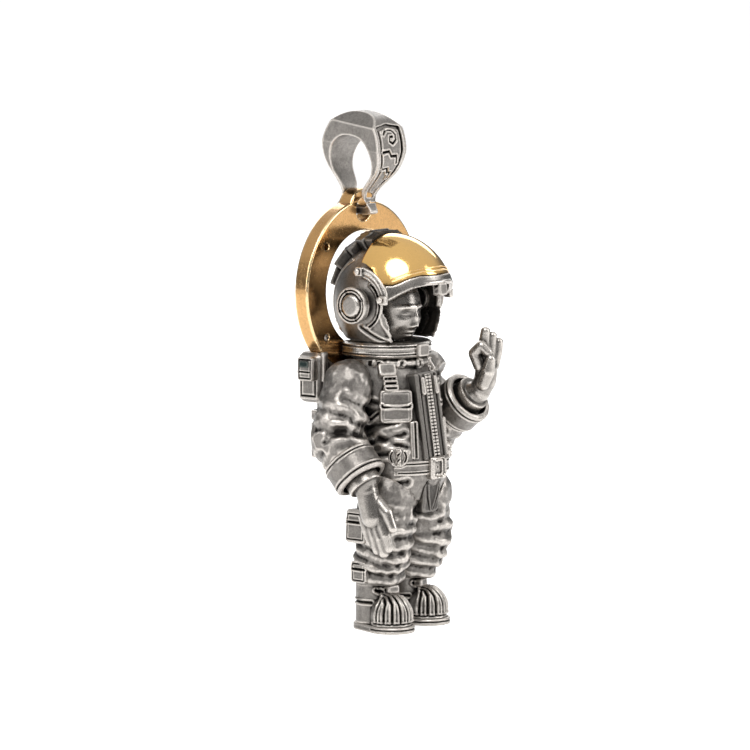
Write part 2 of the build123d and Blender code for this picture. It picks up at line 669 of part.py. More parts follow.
LEFT_THUMB = [(8.4, -8.1, 28.7), (8.3, -8.9, 30.2), (8.4, -9.2, 31.7)]

for side, word, cuff_end in ((-1, "right", RIGHT_CUFF_END), (1, "left", LEFT_CUFF_END)):
    sleeve_solid, cuff_solid = arm_parts(side, cuff_end)
    save(sleeve_solid, f"sleeve_{word}")
    save(cuff_solid, f"cuff_{word}")
    elbow_point = (side * ELBOW[0], ELBOW[1], ELBOW[2])
    cuff_run = Vector(*cuff_end) - Vector(*elbow_point)
    if side < 0:
        hand = glove(cuff_end, cuff_run, (-8.9, -4.3, 17.3), RIGHT_PALM, RIGHT_FINGERS, RIGHT_THUMB,
                     cuff_solid)
    else:
        hand = glove(cuff_end, cuff_run, (9.1, -7.0, 27.7), LEFT_PALM, LEFT_FINGERS, LEFT_THUMB,
                     cuff_solid)
    save(hand, f"glove_{word}")

# ---------------------------------------------------------------- bail
# Loop outline: how far out the curve stands from the bail's middle, and its height
BAIL_OUTSIDE = [(0, 61.3), (2.6, 60.6), (4.15, 58.0), (3.6, 54.2), (1.95, 50.6), (0, 49.05)]
BAIL_INSIDE = [(0, 58.5), (1.9, 58.0), (3.0, 56.4), (2.75, 53.9), (1.5, 51.2), (0, 49.95)]
# Forward lean about the ring's eye, in degrees
BAIL_LEAN = 8
# Half of the outline seen from the front: half width and height
BAIL_FRONT = [(0, 61.4), (0.9, 61.3), (2.75, 59.9), (2.75, 57.2), (1.05, 50.9), (0.7, 50.0), (0.7, 48), (0, 48)]
RECESS_FRONT = [(0, 60.3), (2.15, 60.0), (2.15, 57.2), (0.6, 51.2), (0, 51.2)]
INLAY_FRONT = [(0, 59.8), (1.75, 59.6), (1.75, 57.1), (0.3, 51.8), (0, 51.8)]
RECESS_DEPTH = 0.42
INLAY_DROP = 0.05


def loop(outline, inset):
    """A solid teardrop across the whole width of the bail."""
    (_, top), *between, (_, low) = outline
    with BuildPart() as solid:
        with BuildSketch(Plane.YZ):
            with BuildLine():
                for hand in (-1, 1):
                    Spline(
                        (BAIL_Y, top - inset),
                        *((BAIL_Y + hand * (y - inset), z) for y, z in between),
                        (BAIL_Y, low + inset),
                        tangents=[(hand, 0), (-hand, 0)],
                    )
            make_face()
        extrude(amount=BAIL_HALF_X, both=True)
    return solid.part


def front_prism(half_outline, y_from, y_to):
    """A prism along Y with the outline mirrored about the middle."""
    with BuildPart() as solid:
        with BuildSketch(Plane(origin=(0, y_from, 0), x_dir=(1, 0, 0), z_dir=(0, -1, 0))):
            with BuildLine():
                Polyline(half_outline + [half_outline[0]])
            make_face()
            mirror(about=Plane.YZ)
        extrude(amount=y_from - y_to)
    return solid.part


def leaning(part):
    """The part's largest solid, leaning forward about the ring's eye."""
    solid = part.solids().sort_by(SortBy.VOLUME)[-1]
    return solid.rotate(Axis((0, BAIL_Y, BAIL_EYE_Z), (1, 0, 0)), BAIL_LEAN)


with BuildPart() as bail_inlay:
    add(loop(BAIL_OUTSIDE, INLAY_DROP))
    add(front_prism(INLAY_FRONT, BAIL_Y - 0.7, BAIL_Y - 6), mode=Mode.INTERSECT)
    add(loop(BAIL_OUTSIDE, RECESS_DEPTH), mode=Mode.SUBTRACT)
save(leaning(bail_inlay.part), "bail_inlay")

with BuildPart() as bail_recess:
    add(loop(BAIL_OUTSIDE, -0.2))
    add(front_prism(RECESS_FRONT, BAIL_Y - 0.7, BAIL_Y - 6), mode=Mode.INTERSECT)
    add(loop(BAIL_OUTSIDE, RECESS_DEPTH), mode=Mode.SUBTRACT)

with BuildPart() as bail:
    add(loop(BAIL_OUTSIDE, 0))
    add(loop(BAIL_INSIDE, 0), mode=Mode.SUBTRACT)
    add(front_prism(BAIL_FRONT, BAIL_Y + 6, BAIL_Y - 6), mode=Mode.INTERSECT)
    add(bail_recess.part, mode=Mode.SUBTRACT)
save(leaning(bail.part), "bail")
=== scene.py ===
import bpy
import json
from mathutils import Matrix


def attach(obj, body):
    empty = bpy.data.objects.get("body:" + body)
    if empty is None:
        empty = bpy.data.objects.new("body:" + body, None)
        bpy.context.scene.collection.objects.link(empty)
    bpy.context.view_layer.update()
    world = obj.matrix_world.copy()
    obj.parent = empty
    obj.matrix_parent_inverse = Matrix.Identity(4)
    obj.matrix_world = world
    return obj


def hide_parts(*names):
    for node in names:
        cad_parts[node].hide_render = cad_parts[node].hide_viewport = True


bl_info = {
    "name": "Astronaut Pendant",
    "version": (1, 0, 0),
    "blender": (4, 5, 0),
    "location": "View3D > Sidebar > Pendant",
    "description": "Cast silver and brass astronaut pendant around its CAD frame",
    "category": "Add Mesh",
}

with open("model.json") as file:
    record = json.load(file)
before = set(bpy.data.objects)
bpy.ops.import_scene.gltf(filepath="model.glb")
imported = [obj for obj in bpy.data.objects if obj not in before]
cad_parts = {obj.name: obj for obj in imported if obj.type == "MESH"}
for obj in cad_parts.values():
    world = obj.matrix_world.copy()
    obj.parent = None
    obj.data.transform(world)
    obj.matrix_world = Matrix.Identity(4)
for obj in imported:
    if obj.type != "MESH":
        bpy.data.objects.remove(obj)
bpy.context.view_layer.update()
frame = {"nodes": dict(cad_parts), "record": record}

import json
import math

import bpy
import numpy as np
from mathutils import Vector
from mathutils.bvhtree import BVHTree

MM = 0.001
# Scales every voxel size, so that the whole figure stays under two million triangles.
COARSENESS = 1.14
MERGE_REACH = 0.002 * MM
JOINTS = {joint["name"]: Vector(joint["pos_m"]) for joint in frame["record"]["behaviour"]["joints"]}
BODY_OF = {
    node: body for body, nodes in frame["record"]["behaviour"]["bodies"].items() for node in nodes
}
SLOT_OF = {part["node"]: part["material_slot"] for part in frame["record"]["subparts"]}
NECK_Y = JOINTS["neck_turn"].y
SIDES = ((-1, "right"), (1, "left"))
OXIDISED = "oxidised_silver"

# Millimetres about the neck axis.
EAR_Y, EAR_Z = -0.7, 38.8
VISOR_RADII = np.array((6.75, 8.15, 8.15))
VISOR_WALL = 0.42
ANKLE_Y = {-1: -1.7, 1: -0.9}
LIMB_RADIUS = 3.0
BLOCK_BEVEL = 0.10
TORSO_SIDE, POUCH_SIDE, SLEEVE_INSIDE, ARM_OUTSIDE = 5.5, 5.6, 5.72, 12.2


def at(x, y, z):
    """A point given in millimetres about the neck axis, as a point of the frame."""
    return Vector((x * MM, NECK_Y + y * MM, z * MM))


def places(points, side=1):
    """The points of the frame for a list of (x, y, z); side -1 mirrors them."""
    return [at(side * x, y, z) for x, y, z in points]


def arc(start, stop, step):
    """Directions (x, y) of length 1, by degrees from the front towards the figure's left."""
    turns = [math.radians(turn) for turn in range(start, stop, step)]
    return [(math.sin(turn), -math.cos(turn)) for turn in turns]


# ------------------------------------------------------------------ materials


def finish_group():
    """Node group: patina in the hollows, painted shade from ambient occlusion in crevices and where parts
    meet, raised edges lightened as burnish wear and as a painted highlight, cast grain.
    """
    found = bpy.data.node_groups.get("Cast Finish")
    if found:
        return found
    group = bpy.data.node_groups.new("Cast Finish", "ShaderNodeTree")
    face = group.interface
    for name, kind, default in (
        # The Patina colour and the Patina Amount also paint the shade from ambient occlusion; the Burnish
        # colour also paints a highlight on raised edges.
        ("Metal", "NodeSocketColor", (0.5, 0.48, 0.45, 1)),
        ("Patina", "NodeSocketColor", (0.03, 0.028, 0.027, 1)),
        ("Burnish And Highlight", "NodeSocketColor", (0.8, 0.78, 0.74, 1)),
        ("Hollow", "NodeSocketFloat", 0.5),
        ("Patina And Shade Amount", "NodeSocketFloat", 0.5),
        ("Mottle", "NodeSocketFloat", 0.4),
        ("Smooth Roughness", "NodeSocketFloat", 0.3),
        ("Patina Roughness", "NodeSocketFloat", 0.6),
        ("Grain Size", "NodeSocketFloat", 7.0),
    ):
        socket = face.new_socket(name, in_out="INPUT", socket_type=kind)
        socket.default_value = default
    for name, kind in (("Color", "Color"), ("Roughness", "Float"), ("Height", "Float")):
        face.new_socket(name, in_out="OUTPUT", socket_type=f"NodeSocket{kind}")
    nodes, links = group.nodes, group.links
    source = nodes.new("NodeGroupInput")
    result = nodes.new("NodeGroupOutput")
    coord = nodes.new("ShaderNodeTexCoord")
    scale = nodes.new("ShaderNodeMapping")
    scale.inputs["Scale"].default_value = (1 / MM,) * 3
    links.new(coord.outputs["Object"], scale.inputs["Vector"])

    def noise(size, detail, rough=0.55):
        node = nodes.new("ShaderNodeTexNoise")
        node.inputs["Scale"].default_value = size
        node.inputs["Detail"].default_value = detail
        node.inputs["Roughness"].default_value = rough
        links.new(scale.outputs["Vector"], node.inputs["Vector"])
        return node

    def math_node(kind, first, second, clamp=False):
        node = nodes.new("ShaderNodeMath")
        node.operation = kind
        node.use_clamp = clamp
        for index, value in enumerate((first, second)):
            if isinstance(value, (int, float)):
                node.inputs[index].default_value = value
            else:
                links.new(value, node.inputs[index])
        return node.outputs[0]

    def plus(first, second, clamp=False):
        return math_node("ADD", first, second, clamp)

    def times(first, second, clamp=False):
        return math_node("MULTIPLY", first, second, clamp)

    def opposite(value):
        return math_node("SUBTRACT", 1.0, value)

    def centred(value):
        return math_node("SUBTRACT", value, 0.5)

    def remap(value, low, high):
        node = nodes.new("ShaderNodeMapRange")
        node.interpolation_type = "SMOOTHSTEP"
        node.inputs["From Min"].default_value = low
        node.inputs["From Max"].default_value = high
        links.new(value, node.inputs["Value"])
        return node.outputs["Result"]

    def mix(factor, first, second):
        node = nodes.new("ShaderNodeMix")
        node.data_type = "RGBA"
        links.new(factor, node.inputs["Factor"])
        links.new(first, node.inputs[6])
        links.new(second, node.inputs[7])
        return node.outputs[2]

    given = source.outputs
    broad = noise(0.55, 3.0).outputs["Fac"]
    mottle = noise(2.6, 5.0, 0.65).outputs["Fac"]
    grain_noise = noise(6.0, 4.0, 0.75)
    links.new(given["Grain Size"], grain_noise.inputs["Scale"])
    grain = grain_noise.outputs["Fac"]
    fleck = noise(16.0, 2.0, 0.8).outputs["Fac"]
    # Painted shade: the ambient occlusion darkens crevices, overhangs and places where parts meet, over the
    # patina that lies in the crevices.
    shade = nodes.new("ShaderNodeAmbientOcclusion")
    shade.samples = 6
    shade.inputs["Distance"].default_value = 1.1 * MM
    patina_and_occlusion_shade = remap(opposite(shade.outputs["AO"]), 0.12, 0.75)
    hollow = remap(given["Hollow"], 0.53, 0.8)
    raised = remap(opposite(given["Hollow"]), 0.53, 0.72)
    spots, drift, speckle = (times(centred(cloud), given["Mottle"]) for cloud in (mottle, broad, grain))
    # Mask of the patina in the hollows plus the painted shade from the ambient occlusion.
    dark = plus(times(patina_and_occlusion_shade, 0.75), times(hollow, 0.9))
    dark = times(dark, plus(given["Patina And Shade Amount"], 0.5))
    spots = plus(times(spots, 1.2), times(speckle, 1.6))
    dark = plus(dark, plus(spots, drift))
    dark = plus(dark, times(given["Patina And Shade Amount"], 0.35), clamp=True)
    base = mix(dark, given["Metal"], given["Patina"])
    # Raised edges lighten towards the burnish colour: burnish wear, and a painted highlight.
    wear_and_highlight = times(raised, remap(fleck, 0.3, 0.6), clamp=True)
    colour = mix(wear_and_highlight, base, given["Burnish And Highlight"])
    rough = nodes.new("ShaderNodeMix")
    links.new(dark, rough.inputs["Factor"])
    links.new(given["Smooth Roughness"], rough.inputs["A"])
    links.new(given["Patina Roughness"], rough.inputs["B"])
    uneven = times(centred(grain), 0.35)
    height = plus(times(grain, 0.6), times(mottle, 0.7))
    links.new(colour, result.inputs["Color"])
    links.new(plus(rough.outputs["Result"], uneven, clamp=True), result.inputs["Roughness"])
    links.new(height, result.inputs["Height"])
    return group


# The patina colour is also the colour of the painted shade in crevices; the burnish colour lightens raised
# edges as wear and as a painted highlight.
def cast_metal(name, metal, patina_and_shade, burnish_and_highlight, amount, mottle, smooth, rough, grain, bump):
    """A metal finish made of the shared group, a bump and the metal shader."""
    found = bpy.data.materials.get(f"cast_{name}")
    if found:
        return found
    material = bpy.data.materials.new(f"cast_{name}")
    material.use_nodes = True
    tree = material.node_tree
    shader = tree.nodes["Principled BSDF"]
    group = tree.nodes.new("ShaderNodeGroup")
    group.node_tree = finish_group()
    for socket, value in (
        ("Metal", (*metal, 1)), ("Patina", (*patina_and_shade, 1)), ("Burnish And Highlight", (*burnish_and_highlight, 1)),
        ("Patina And Shade Amount", amount), ("Mottle", mottle), ("Smooth Roughness", smooth),
        ("Patina Roughness", rough), ("Grain Size", grain),
    ):
        group.inputs[socket].default_value = value
    hollow = tree.nodes.new("ShaderNodeAttribute")
    hollow.attribute_name = "hollow"
    tree.links.new(hollow.outputs["Fac"], group.inputs["Hollow"])
    relief = tree.nodes.new("ShaderNodeBump")
    relief.inputs["Strength"].default_value = bump
    relief.inputs["Distance"].default_value = 0.05 * MM
    tree.links.new(group.outputs["Height"], relief.inputs["Height"])
    tree.links.new(group.outputs["Color"], shader.inputs["Base Color"])
    tree.links.new(group.outputs["Roughness"], shader.inputs["Roughness"])
    tree.links.new(relief.outputs["Normal"], shader.inputs["Normal"])
    shader.inputs["Metallic"].default_value = 1.0
    return material


def finishes():
    """Every finish of the pendant, by the name of its slot."""
    look = bpy.context.scene.pendant_look
    silver = tuple(look.silver_colour)
    patina_and_shade = tuple(look.patina_and_shade_colour)
    brass = tuple(look.brass_colour)
    # Lighter silver for raised edges, as burnish wear and as a painted highlight.
    burnish_and_highlight = tuple(min(1.0, channel * 2.7) for channel in silver)
    return {
        OXIDISED: cast_metal(OXIDISED, silver, patina_and_shade, burnish_and_highlight,
                             look.patina_and_shade_amount, 0.75, 0.34, 0.55, 7.0, 0.75),
        "dark_silver": cast_metal("dark_silver", tuple(c * 0.45 for c in silver), patina_and_shade, silver,
                                  look.patina_and_shade_amount + 0.25, 0.6, 0.42, 0.6, 8.0, 0.8),
        "polished_silver": cast_metal("polished_silver", tuple(c * 1.15 for c in silver), patina_and_shade,
                                      burnish_and_highlight, look.patina_and_shade_amount * 0.45, 0.45, 0.26, 0.5, 6.0, 0.35),
        "brass": cast_metal("brass", brass, (0.20, 0.09, 0.03), (1.0, 0.80, 0.48),
                            0.05, 0.10, look.brass_roughness, 0.4, 3.0, 0.02),
        "ring_brass": cast_metal("ring_brass", (brass[0] * 0.70, brass[1] * 0.66, brass[2] * 0.78),
                                 (0.10, 0.050, 0.02), (0.95, 0.72, 0.42), 0.16, 0.35,
                                 look.brass_roughness + 0.09, 0.42, 4.0, 0.06),
        "black_enamel": cast_metal("black_enamel", (0.02, 0.03, 0.028), (0.005, 0.006, 0.006),
                                   (0.10, 0.11, 0.10), 0.4, 0.3, 0.2, 0.4, 5.0, 0.2),
    }


# ------------------------------------------------------------------ mesh tools


def only(obj):
    """Makes one object the only selected and active one."""
    bpy.ops.object.select_all(action="DESELECT")
    obj.select_set(True)
    bpy.context.view_layer.objects.active = obj


def apply_modifier(obj, kind, **values):
    """Adds a modifier with these values and applies it."""
    only(obj)
    modifier = obj.modifiers.new(kind.title(), kind)
    for name, value in values.items():
        setattr(modifier, name, value)
    bpy.ops.object.modifier_apply(modifier=modifier.name)


def edited(obj, change=None):
    """Makes a change to a whole mesh in edit mode, then turns its faces outwards."""
    only(obj)
    bpy.ops.object.mode_set(mode="EDIT")
    bpy.ops.mesh.select_all(action="SELECT")
    if change:
        change()
        bpy.ops.mesh.select_all(action="SELECT")
    bpy.ops.mesh.normals_make_consistent(inside=False)
    bpy.ops.object.mode_set(mode="OBJECT")


def copy_of(node, name):
    """A merged copy of a CAD node's mesh, as a new object."""
    source = frame["nodes"][node]
    obj = bpy.data.objects.new(name, source.data.copy())
    bpy.context.scene.collection.objects.link(obj)
    obj.data.materials.clear()
    edited(obj, lambda: bpy.ops.mesh.remove_doubles(threshold=MERGE_REACH))
    unwrapped = obj.data.attributes.get("UVMap")
    if unwrapped:
        obj.data.attributes.remove(unwrapped)
    return obj


def cast(obj, voxel, smooth=4):
    """Melts a piece into one even skin, as a casting, and softens it."""
    size = voxel * COARSENESS * MM
    apply_modifier(obj, "REMESH", mode="VOXEL", voxel_size=size, use_smooth_shade=True)
    if smooth:
        apply_modifier(obj, "SMOOTH", factor=0.5, iterations=smooth)


def points_of(obj):
    count = len(obj.data.vertices)
    flat = np.empty(count * 3)
    obj.data.vertices.foreach_get("co", flat)
    return flat.reshape(count, 3)


def normals_of(obj):
    flat = np.empty(len(obj.data.vertices) * 3)
    obj.data.vertex_normals.foreach_get("vector", flat)
    return flat.reshape(-1, 3)


def put_points(obj, points):
    obj.data.vertices.foreach_set("co", points.ravel())
    obj.data.update()


def mark_hollows(obj, reach=0.35):
    """Stores how hollow or raised each point is, from 1 to 0, for the finish."""
    mesh = obj.data
    points = points_of(obj)
    normals = normals_of(obj)
    ends = np.empty(len(mesh.edges) * 2, dtype=np.int64)
    mesh.edges.foreach_get("vertices", ends)
    first, second = ends.reshape(-1, 2).T
    degree = np.bincount(ends, minlength=len(points)).astype(float)
    degree[degree == 0] = 1
    average = points.copy()
    length = np.linalg.norm(points[first] - points[second], axis=1).mean()
    for _ in range(max(2, int((reach * MM / length) ** 2))):
        total = np.zeros_like(points)
        np.add.at(total, first, average[second])
        np.add.at(total, second, average[first])
        average = 0.5 * average + 0.5 * total / degree[:, None]
    bend = ((average - points) * normals).sum(axis=1) / (reach * MM)
    value = np.clip(0.5 + bend * 2.2, 0, 1).astype(np.float32)
    field = mesh.attributes.get("hollow") or mesh.attributes.new("hollow", "FLOAT", "POINT")
    field.data.foreach_set("value", value)


def finish_piece(obj, nodes, finish, body=None):
    """Gives a piece its finish and body, and hides the CAD nodes it stands for."""
    nodes = [nodes] if isinstance(nodes, str) else list(nodes)
    only(obj)
    bpy.ops.object.shade_smooth_by_angle(angle=math.radians(50))
    mark_hollows(obj)
    obj.data.materials.clear()
    obj.data.materials.append(finishes()[finish])
    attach(obj, body or BODY_OF[nodes[0]])
    "brass" if finish == "ring_brass" else finish
    if nodes:
        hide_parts(*nodes)
    return obj


def surface_of(obj):
    """A tree for finding places on a piece's surface."""
    graph = bpy.context.evaluated_depsgraph_get()
    return BVHTree.FromObject(obj, graph)


def snapped(tree, points, step=0.12):
    """The points of a path, close together and laid on the surface."""
    path = []
    for start, end in zip(points, points[1:]):
        count = max(2, int((end - start).length / (step * MM)))
        for index in range(count):
            path.append(start.lerp(end, index / count))
    path.append(points[-1])
    found = [tree.find_nearest(point)[0] for point in path]
    return np.array([tuple(point) for point in found if point is not None])


def distance_to(points, path, reach):
    """How far each point is from a path, up to a reach."""
    low, high = path.min(axis=0) - reach, path.max(axis=0) + reach
    near = np.all((points > low) & (points < high), axis=1)
    away = np.full(len(points), reach * 2)
    picked = points[near]
    best = np.full(len(picked), reach * 2)
    for start in range(0, len(path), 24):
        part = path[start:start + 24]
        gap = np.linalg.norm(picked[:, None, :] - part[None, :, :], axis=2).min(axis=1)
        best = np.minimum(best, gap)
    away[near] = best
    return away


def crease(obj, tree, paths):
    """Presses folds into a piece. Each path is (points, depth, width, lip)."""
    points = points_of(obj)
    normals = normals_of(obj)
    push = np.zeros(len(points))
    for path, depth, width, lip in paths:
        line = snapped(tree, path)
        away = distance_to(points, line, 4.5 * width * MM) / (width * MM)
        push -= depth * np.exp(-away ** 2)
        push += depth * lip * np.exp(-((away - 1.9) / 0.95) ** 2)
    put_points(obj, points + normals * (push * MM)[:, None])


def swell(obj, spots):
    """Swells a piece about some places. Each spot is (centre, height, radius)."""
    points = points_of(obj)
    normals = normals_of(obj)
    push = np.zeros(len(points))
    for centre, height, radius in spots:
        away = np.linalg.norm(points - np.array(centre), axis=1) / (radius * MM)
        push += height * np.exp(-away ** 2)
    put_points(obj, points + normals * (push * MM)[:, None])


def keep_within(obj, low, high):
    """Keeps a piece between two distances from the middle plane, in millimetres."""
    points = points_of(obj)
    side = np.where(points[:, 0] < 0, -1.0, 1.0)
    points[:, 0] = side * np.clip(np.abs(points[:, 0]), low * MM, high * MM)
    put_points(obj, points)


def ripple(obj, strength, size):
    """A soft unevenness all over a piece."""
    cloud = bpy.data.textures.get(f"cloud{size}") or bpy.data.textures.new(f"cloud{size}", "CLOUDS")
    cloud.noise_scale = size * MM
    apply_modifier(obj, "DISPLACE", texture=cloud, texture_coords="LOCAL",
                   strength=strength * MM, mid_level=0.5)


def frame_along(axis):
    """Two directions across an axis; the first is as near to the front as can be."""
    front = Vector((0, -1, 0))
    if abs(axis.dot(front)) > 0.8:
        front = Vector((0, 0, 1))
    first = (front - axis * axis.dot(front)).normalized()
    return first, axis.cross(first)


def around(spine, along, angle):
    """A point beside a limb: along from 0 to 1 per joint, angle in degrees from the front."""
    index = min(int(along), len(spine) - 2)
    start, end = spine[index], spine[index + 1]
    axis = (end - start).normalized()
    first, second = frame_along(axis)
    turn = math.radians(angle)
    middle = start.lerp(end, along - index)
    return middle + (first * math.cos(turn) + second * math.sin(turn)) * (LIMB_RADIUS * MM)


def cast_size(obj):
    """The voxel size that suits a piece, in millimetres."""
    return min(0.13, max(0.045, obj.dimensions.length / MM / 95))


def plain_casting(node, finish=None, voxel=None, smooth=3):
    """A CAD node's shape as a softened casting with its finish."""
    obj = copy_of(node, f"{node}_cast")
    bpy.context.view_layer.update()
    cast(obj, voxel or cast_size(obj), smooth)
    return finish_piece(obj, node, finish or SLOT_OF[node])


def area_light(name, place, aim, size, power, colour=(1, 1, 1)):
    data = bpy.data.lights.new(name, "AREA")
    data.shape = "ELLIPSE"
    data.size, data.size_y = size
    data.energy = power
    data.color = colour
    light = bpy.data.objects.new(name, data)
    light.location = place
    light.rotation_euler = (aim - place).to_track_quat("-Z", "Y").to_euler()
    bpy.context.scene.collection.objects.link(light)
    return light


# ------------------------------------------------------------------ settings


def colour_setting(name, description, default):
    return bpy.props.FloatVectorProperty(
        name=name, description=description, subtype="COLOR", size=3, min=0, max=1, default=default)


class PendantLook(bpy.types.PropertyGroup):
    """Colours and finish of the pendant."""
    silver_colour: colour_setting("Silver", "Colour of the worn silver", (0.245, 0.228, 0.210))
    # The patina colour is also the colour of the painted shade in crevices.
    patina_and_shade_colour: colour_setting("Patina", "Colour of the oxide in the hollows", (0.016, 0.0138, 0.0122))
    brass_colour: colour_setting("Brass", "Colour of the visor and ring", (0.84, 0.52, 0.18))
    brass_roughness: bpy.props.FloatProperty(
        name="Brass roughness", description="Polish of the brass", min=0.02, max=1, default=0.10)
    patina_and_shade_amount: bpy.props.FloatProperty(
        # The patina amount also sets the strength of the painted shade in crevices.
        name="Patina amount", description="How much oxide is left on the silver",
        subtype="FACTOR", min=0, max=1, default=0.5)
    fold_depth: bpy.props.FloatProperty(
        name="Fold depth", description="Strength of the suit's folds", min=0, max=3, default=0.55)


class PendantStage(bpy.types.PropertyGroup):
    """Floor, light and camera."""
    view_azimuth: bpy.props.FloatProperty(
        name="View azimuth", description="Direction of the camera about the figure",
        subtype="ANGLE", default=math.radians(-51))
    view_elevation: bpy.props.FloatProperty(
        name="View elevation", description="Height of the camera over the horizon",
        subtype="ANGLE", default=math.radians(6.5))
    view_distance: bpy.props.FloatProperty(
        name="View distance", description="From the camera to the figure",
        unit="LENGTH", default=0.62)
    view_width: bpy.props.FloatProperty(
        name="View width", description="Width that the camera sees at the figure",
        unit="LENGTH", default=0.0893)
    view_height: bpy.props.FloatProperty(
        name="Aim height", description="Height that the camera aims at",
        unit="LENGTH", default=0.0298)
    floor_colour: colour_setting("Floor", "Colour of the floor and backdrop", (0.93, 0.93, 0.93))
    light_power: bpy.props.FloatProperty(
        name="Light power", description="Strength of the studio lights", min=0, default=1.0)


# ------------------------------------------------------------------ stage


class PENDANT_OT_stage(bpy.types.Operator):
    """Adds the floor, the studio light and the camera"""
    bl_idname = "pendant.stage"
    bl_label = "Stage"

    def execute(self, context):
        stage = context.scene.pendant_stage
        self.backdrop(stage)
        self.sky(context)
        context.scene.view_settings.view_transform = "Standard"
        middle = at(0, 1.68, stage.view_height / MM)
        out = self.camera(context, stage, middle)
        self.lights(stage, middle, out)
        return {"FINISHED"}

    def backdrop(self, stage):
        """A flat floor under and behind the figure."""
        bpy.ops.object.select_all(action="DESELECT")
        bpy.ops.mesh.primitive_plane_add(size=6.0, location=(0, 0, 0))
        floor = bpy.context.object
        floor.name = "floor"
        material = bpy.data.materials.new("floor_paper")
        material.use_nodes = True
        shader = material.node_tree.nodes["Principled BSDF"]
        shader.inputs["Base Color"].default_value = (*stage.floor_colour, 1)
        shader.inputs["Roughness"].default_value = 0.85
        shader.inputs["Specular IOR Level"].default_value = 0.1
        shader.inputs["Emission Color"].default_value = (1, 1, 1, 1)
        shader.inputs["Emission Strength"].default_value = 0.40
        floor.data.materials.append(material)

    def sky(self, context):
        """White seen directly, and bright and dark bands for the metal to mirror."""
        world = bpy.data.worlds.new("studio")
        context.scene.world = world
        world.use_nodes = True
        tree = world.node_tree
        tree.nodes.clear()
        out, coord, split, ramp, height, path, mirrored, seen, pick = (
            tree.nodes.new(f"ShaderNode{kind}") for kind in (
                "OutputWorld", "TexCoord", "SeparateXYZ", "ValToRGB", "MapRange",
                "LightPath", "Background", "Background", "MixShader"))
        height.inputs["From Min"].default_value = -1.0
        stops = ((0.0, 0.75), (0.47, 0.62), (0.52, 0.16), (0.64, 0.30), (0.78, 0.85), (1.0, 1.0))
        while len(ramp.color_ramp.elements) < len(stops):
            ramp.color_ramp.elements.new(0.5)
        for element, (place, value) in zip(ramp.color_ramp.elements, stops):
            element.position = place
            element.color = (value, value, value, 1)
        seen.inputs["Color"].default_value = (1, 1, 1, 1)
        seen.inputs["Strength"].default_value = 1.0
        mirrored.inputs["Strength"].default_value = 0.85
        links = tree.links
        links.new(coord.outputs["Generated"], split.inputs["Vector"])
        links.new(split.outputs["Z"], height.inputs["Value"])
        links.new(height.outputs["Result"], ramp.inputs["Fac"])
        links.new(ramp.outputs["Color"], mirrored.inputs["Color"])
        links.new(path.outputs["Is Camera Ray"], pick.inputs["Fac"])
        links.new(mirrored.outputs["Background"], pick.inputs[1])
        links.new(seen.outputs["Background"], pick.inputs[2])
        links.new(pick.outputs["Shader"], out.inputs["Surface"])

    def camera(self, context, stage, middle):
        data = bpy.data.cameras.new("camera")
        data.sensor_width = 36.0
        data.lens = data.sensor_width * stage.view_distance / stage.view_width
        data.clip_start = 0.01
        camera = bpy.data.objects.new("camera", data)
        azimuth, height = stage.view_azimuth, stage.view_elevation
        out = Vector((
            math.sin(azimuth) * math.cos(height),
            -math.cos(azimuth) * math.cos(height),
            math.sin(height),
        ))
        camera.location = middle + out * stage.view_distance
        camera.rotation_euler = out.to_track_quat("Z", "Y").to_euler()
        context.scene.collection.objects.link(camera)
        context.scene.camera = camera
        return out

    def lights(self, stage, middle, out):
        side = Vector((0, 0, 1)).cross(out).normalized()
        up = Vector((0, 0, 1))
        power = stage.light_power
        for name, place, size, bright in (
            ("key", out * 0.30 - side * 0.04 + up * 0.40, (0.34, 0.34), 5.5),
            ("left", out * 0.22 - side * 0.42 + up * 0.16, (0.12, 0.45), 4.0),
            ("right", out * 0.05 + side * 0.46 + up * 0.20, (0.20, 0.45), 4.5),
            ("back", -out * 0.45 + up * 0.30, (0.60, 0.20), 3.0),
        ):
            watts = bright * power * math.pi ** 2 / 4 * size[0] * size[1]
            area_light(name, middle + place, middle, size, watts)


# ------------------------------------------------------------------ suit


def arm_spine(side):
    """Shoulder, elbow and cuff end of one arm; side is -1 on the figure's right."""
    end = (-9.0, -3.7, 18.5) if side < 0 else (9.0, -5.6, 27.0)
    return [at(side * 7.3, -0.1, 29.6), at(side * 9.1, 0.2, 22.9), at(*end)]


def leg_spine(side):
    """Hip, knee and ankle of one leg; side is -1 on the figure's right."""
    ankle = ANKLE_Y[side]
    return [at(side * 3.3, -2.9, 15.9), at(side * 3.65, (ankle - 2.9) / 2 - 0.4, 10.6),
            at(side * 3.5, ankle - 0.1, 6.4)]


def limb_folds(spine, folds, deep):
    """Creases round a limb. Each fold is (along, along at the end, angle, sweep, depth, width)."""
    paths = []
    count = 7
    for start, end, angle, sweep, depth, width in folds:
        path = [
            around(spine, start + (end - start) * step / count, angle + sweep * step / count)
            for step in range(count + 1)
        ]
        paths.append((path, depth * deep, width * 1.45, 0.6))
    return paths


def limb_swells(spine, spots):
    """Swells beside a limb. Each spot is (along, angle, height, radius)."""
    return [(around(spine, along, angle), height, radius) for along, angle, height, radius in spots]


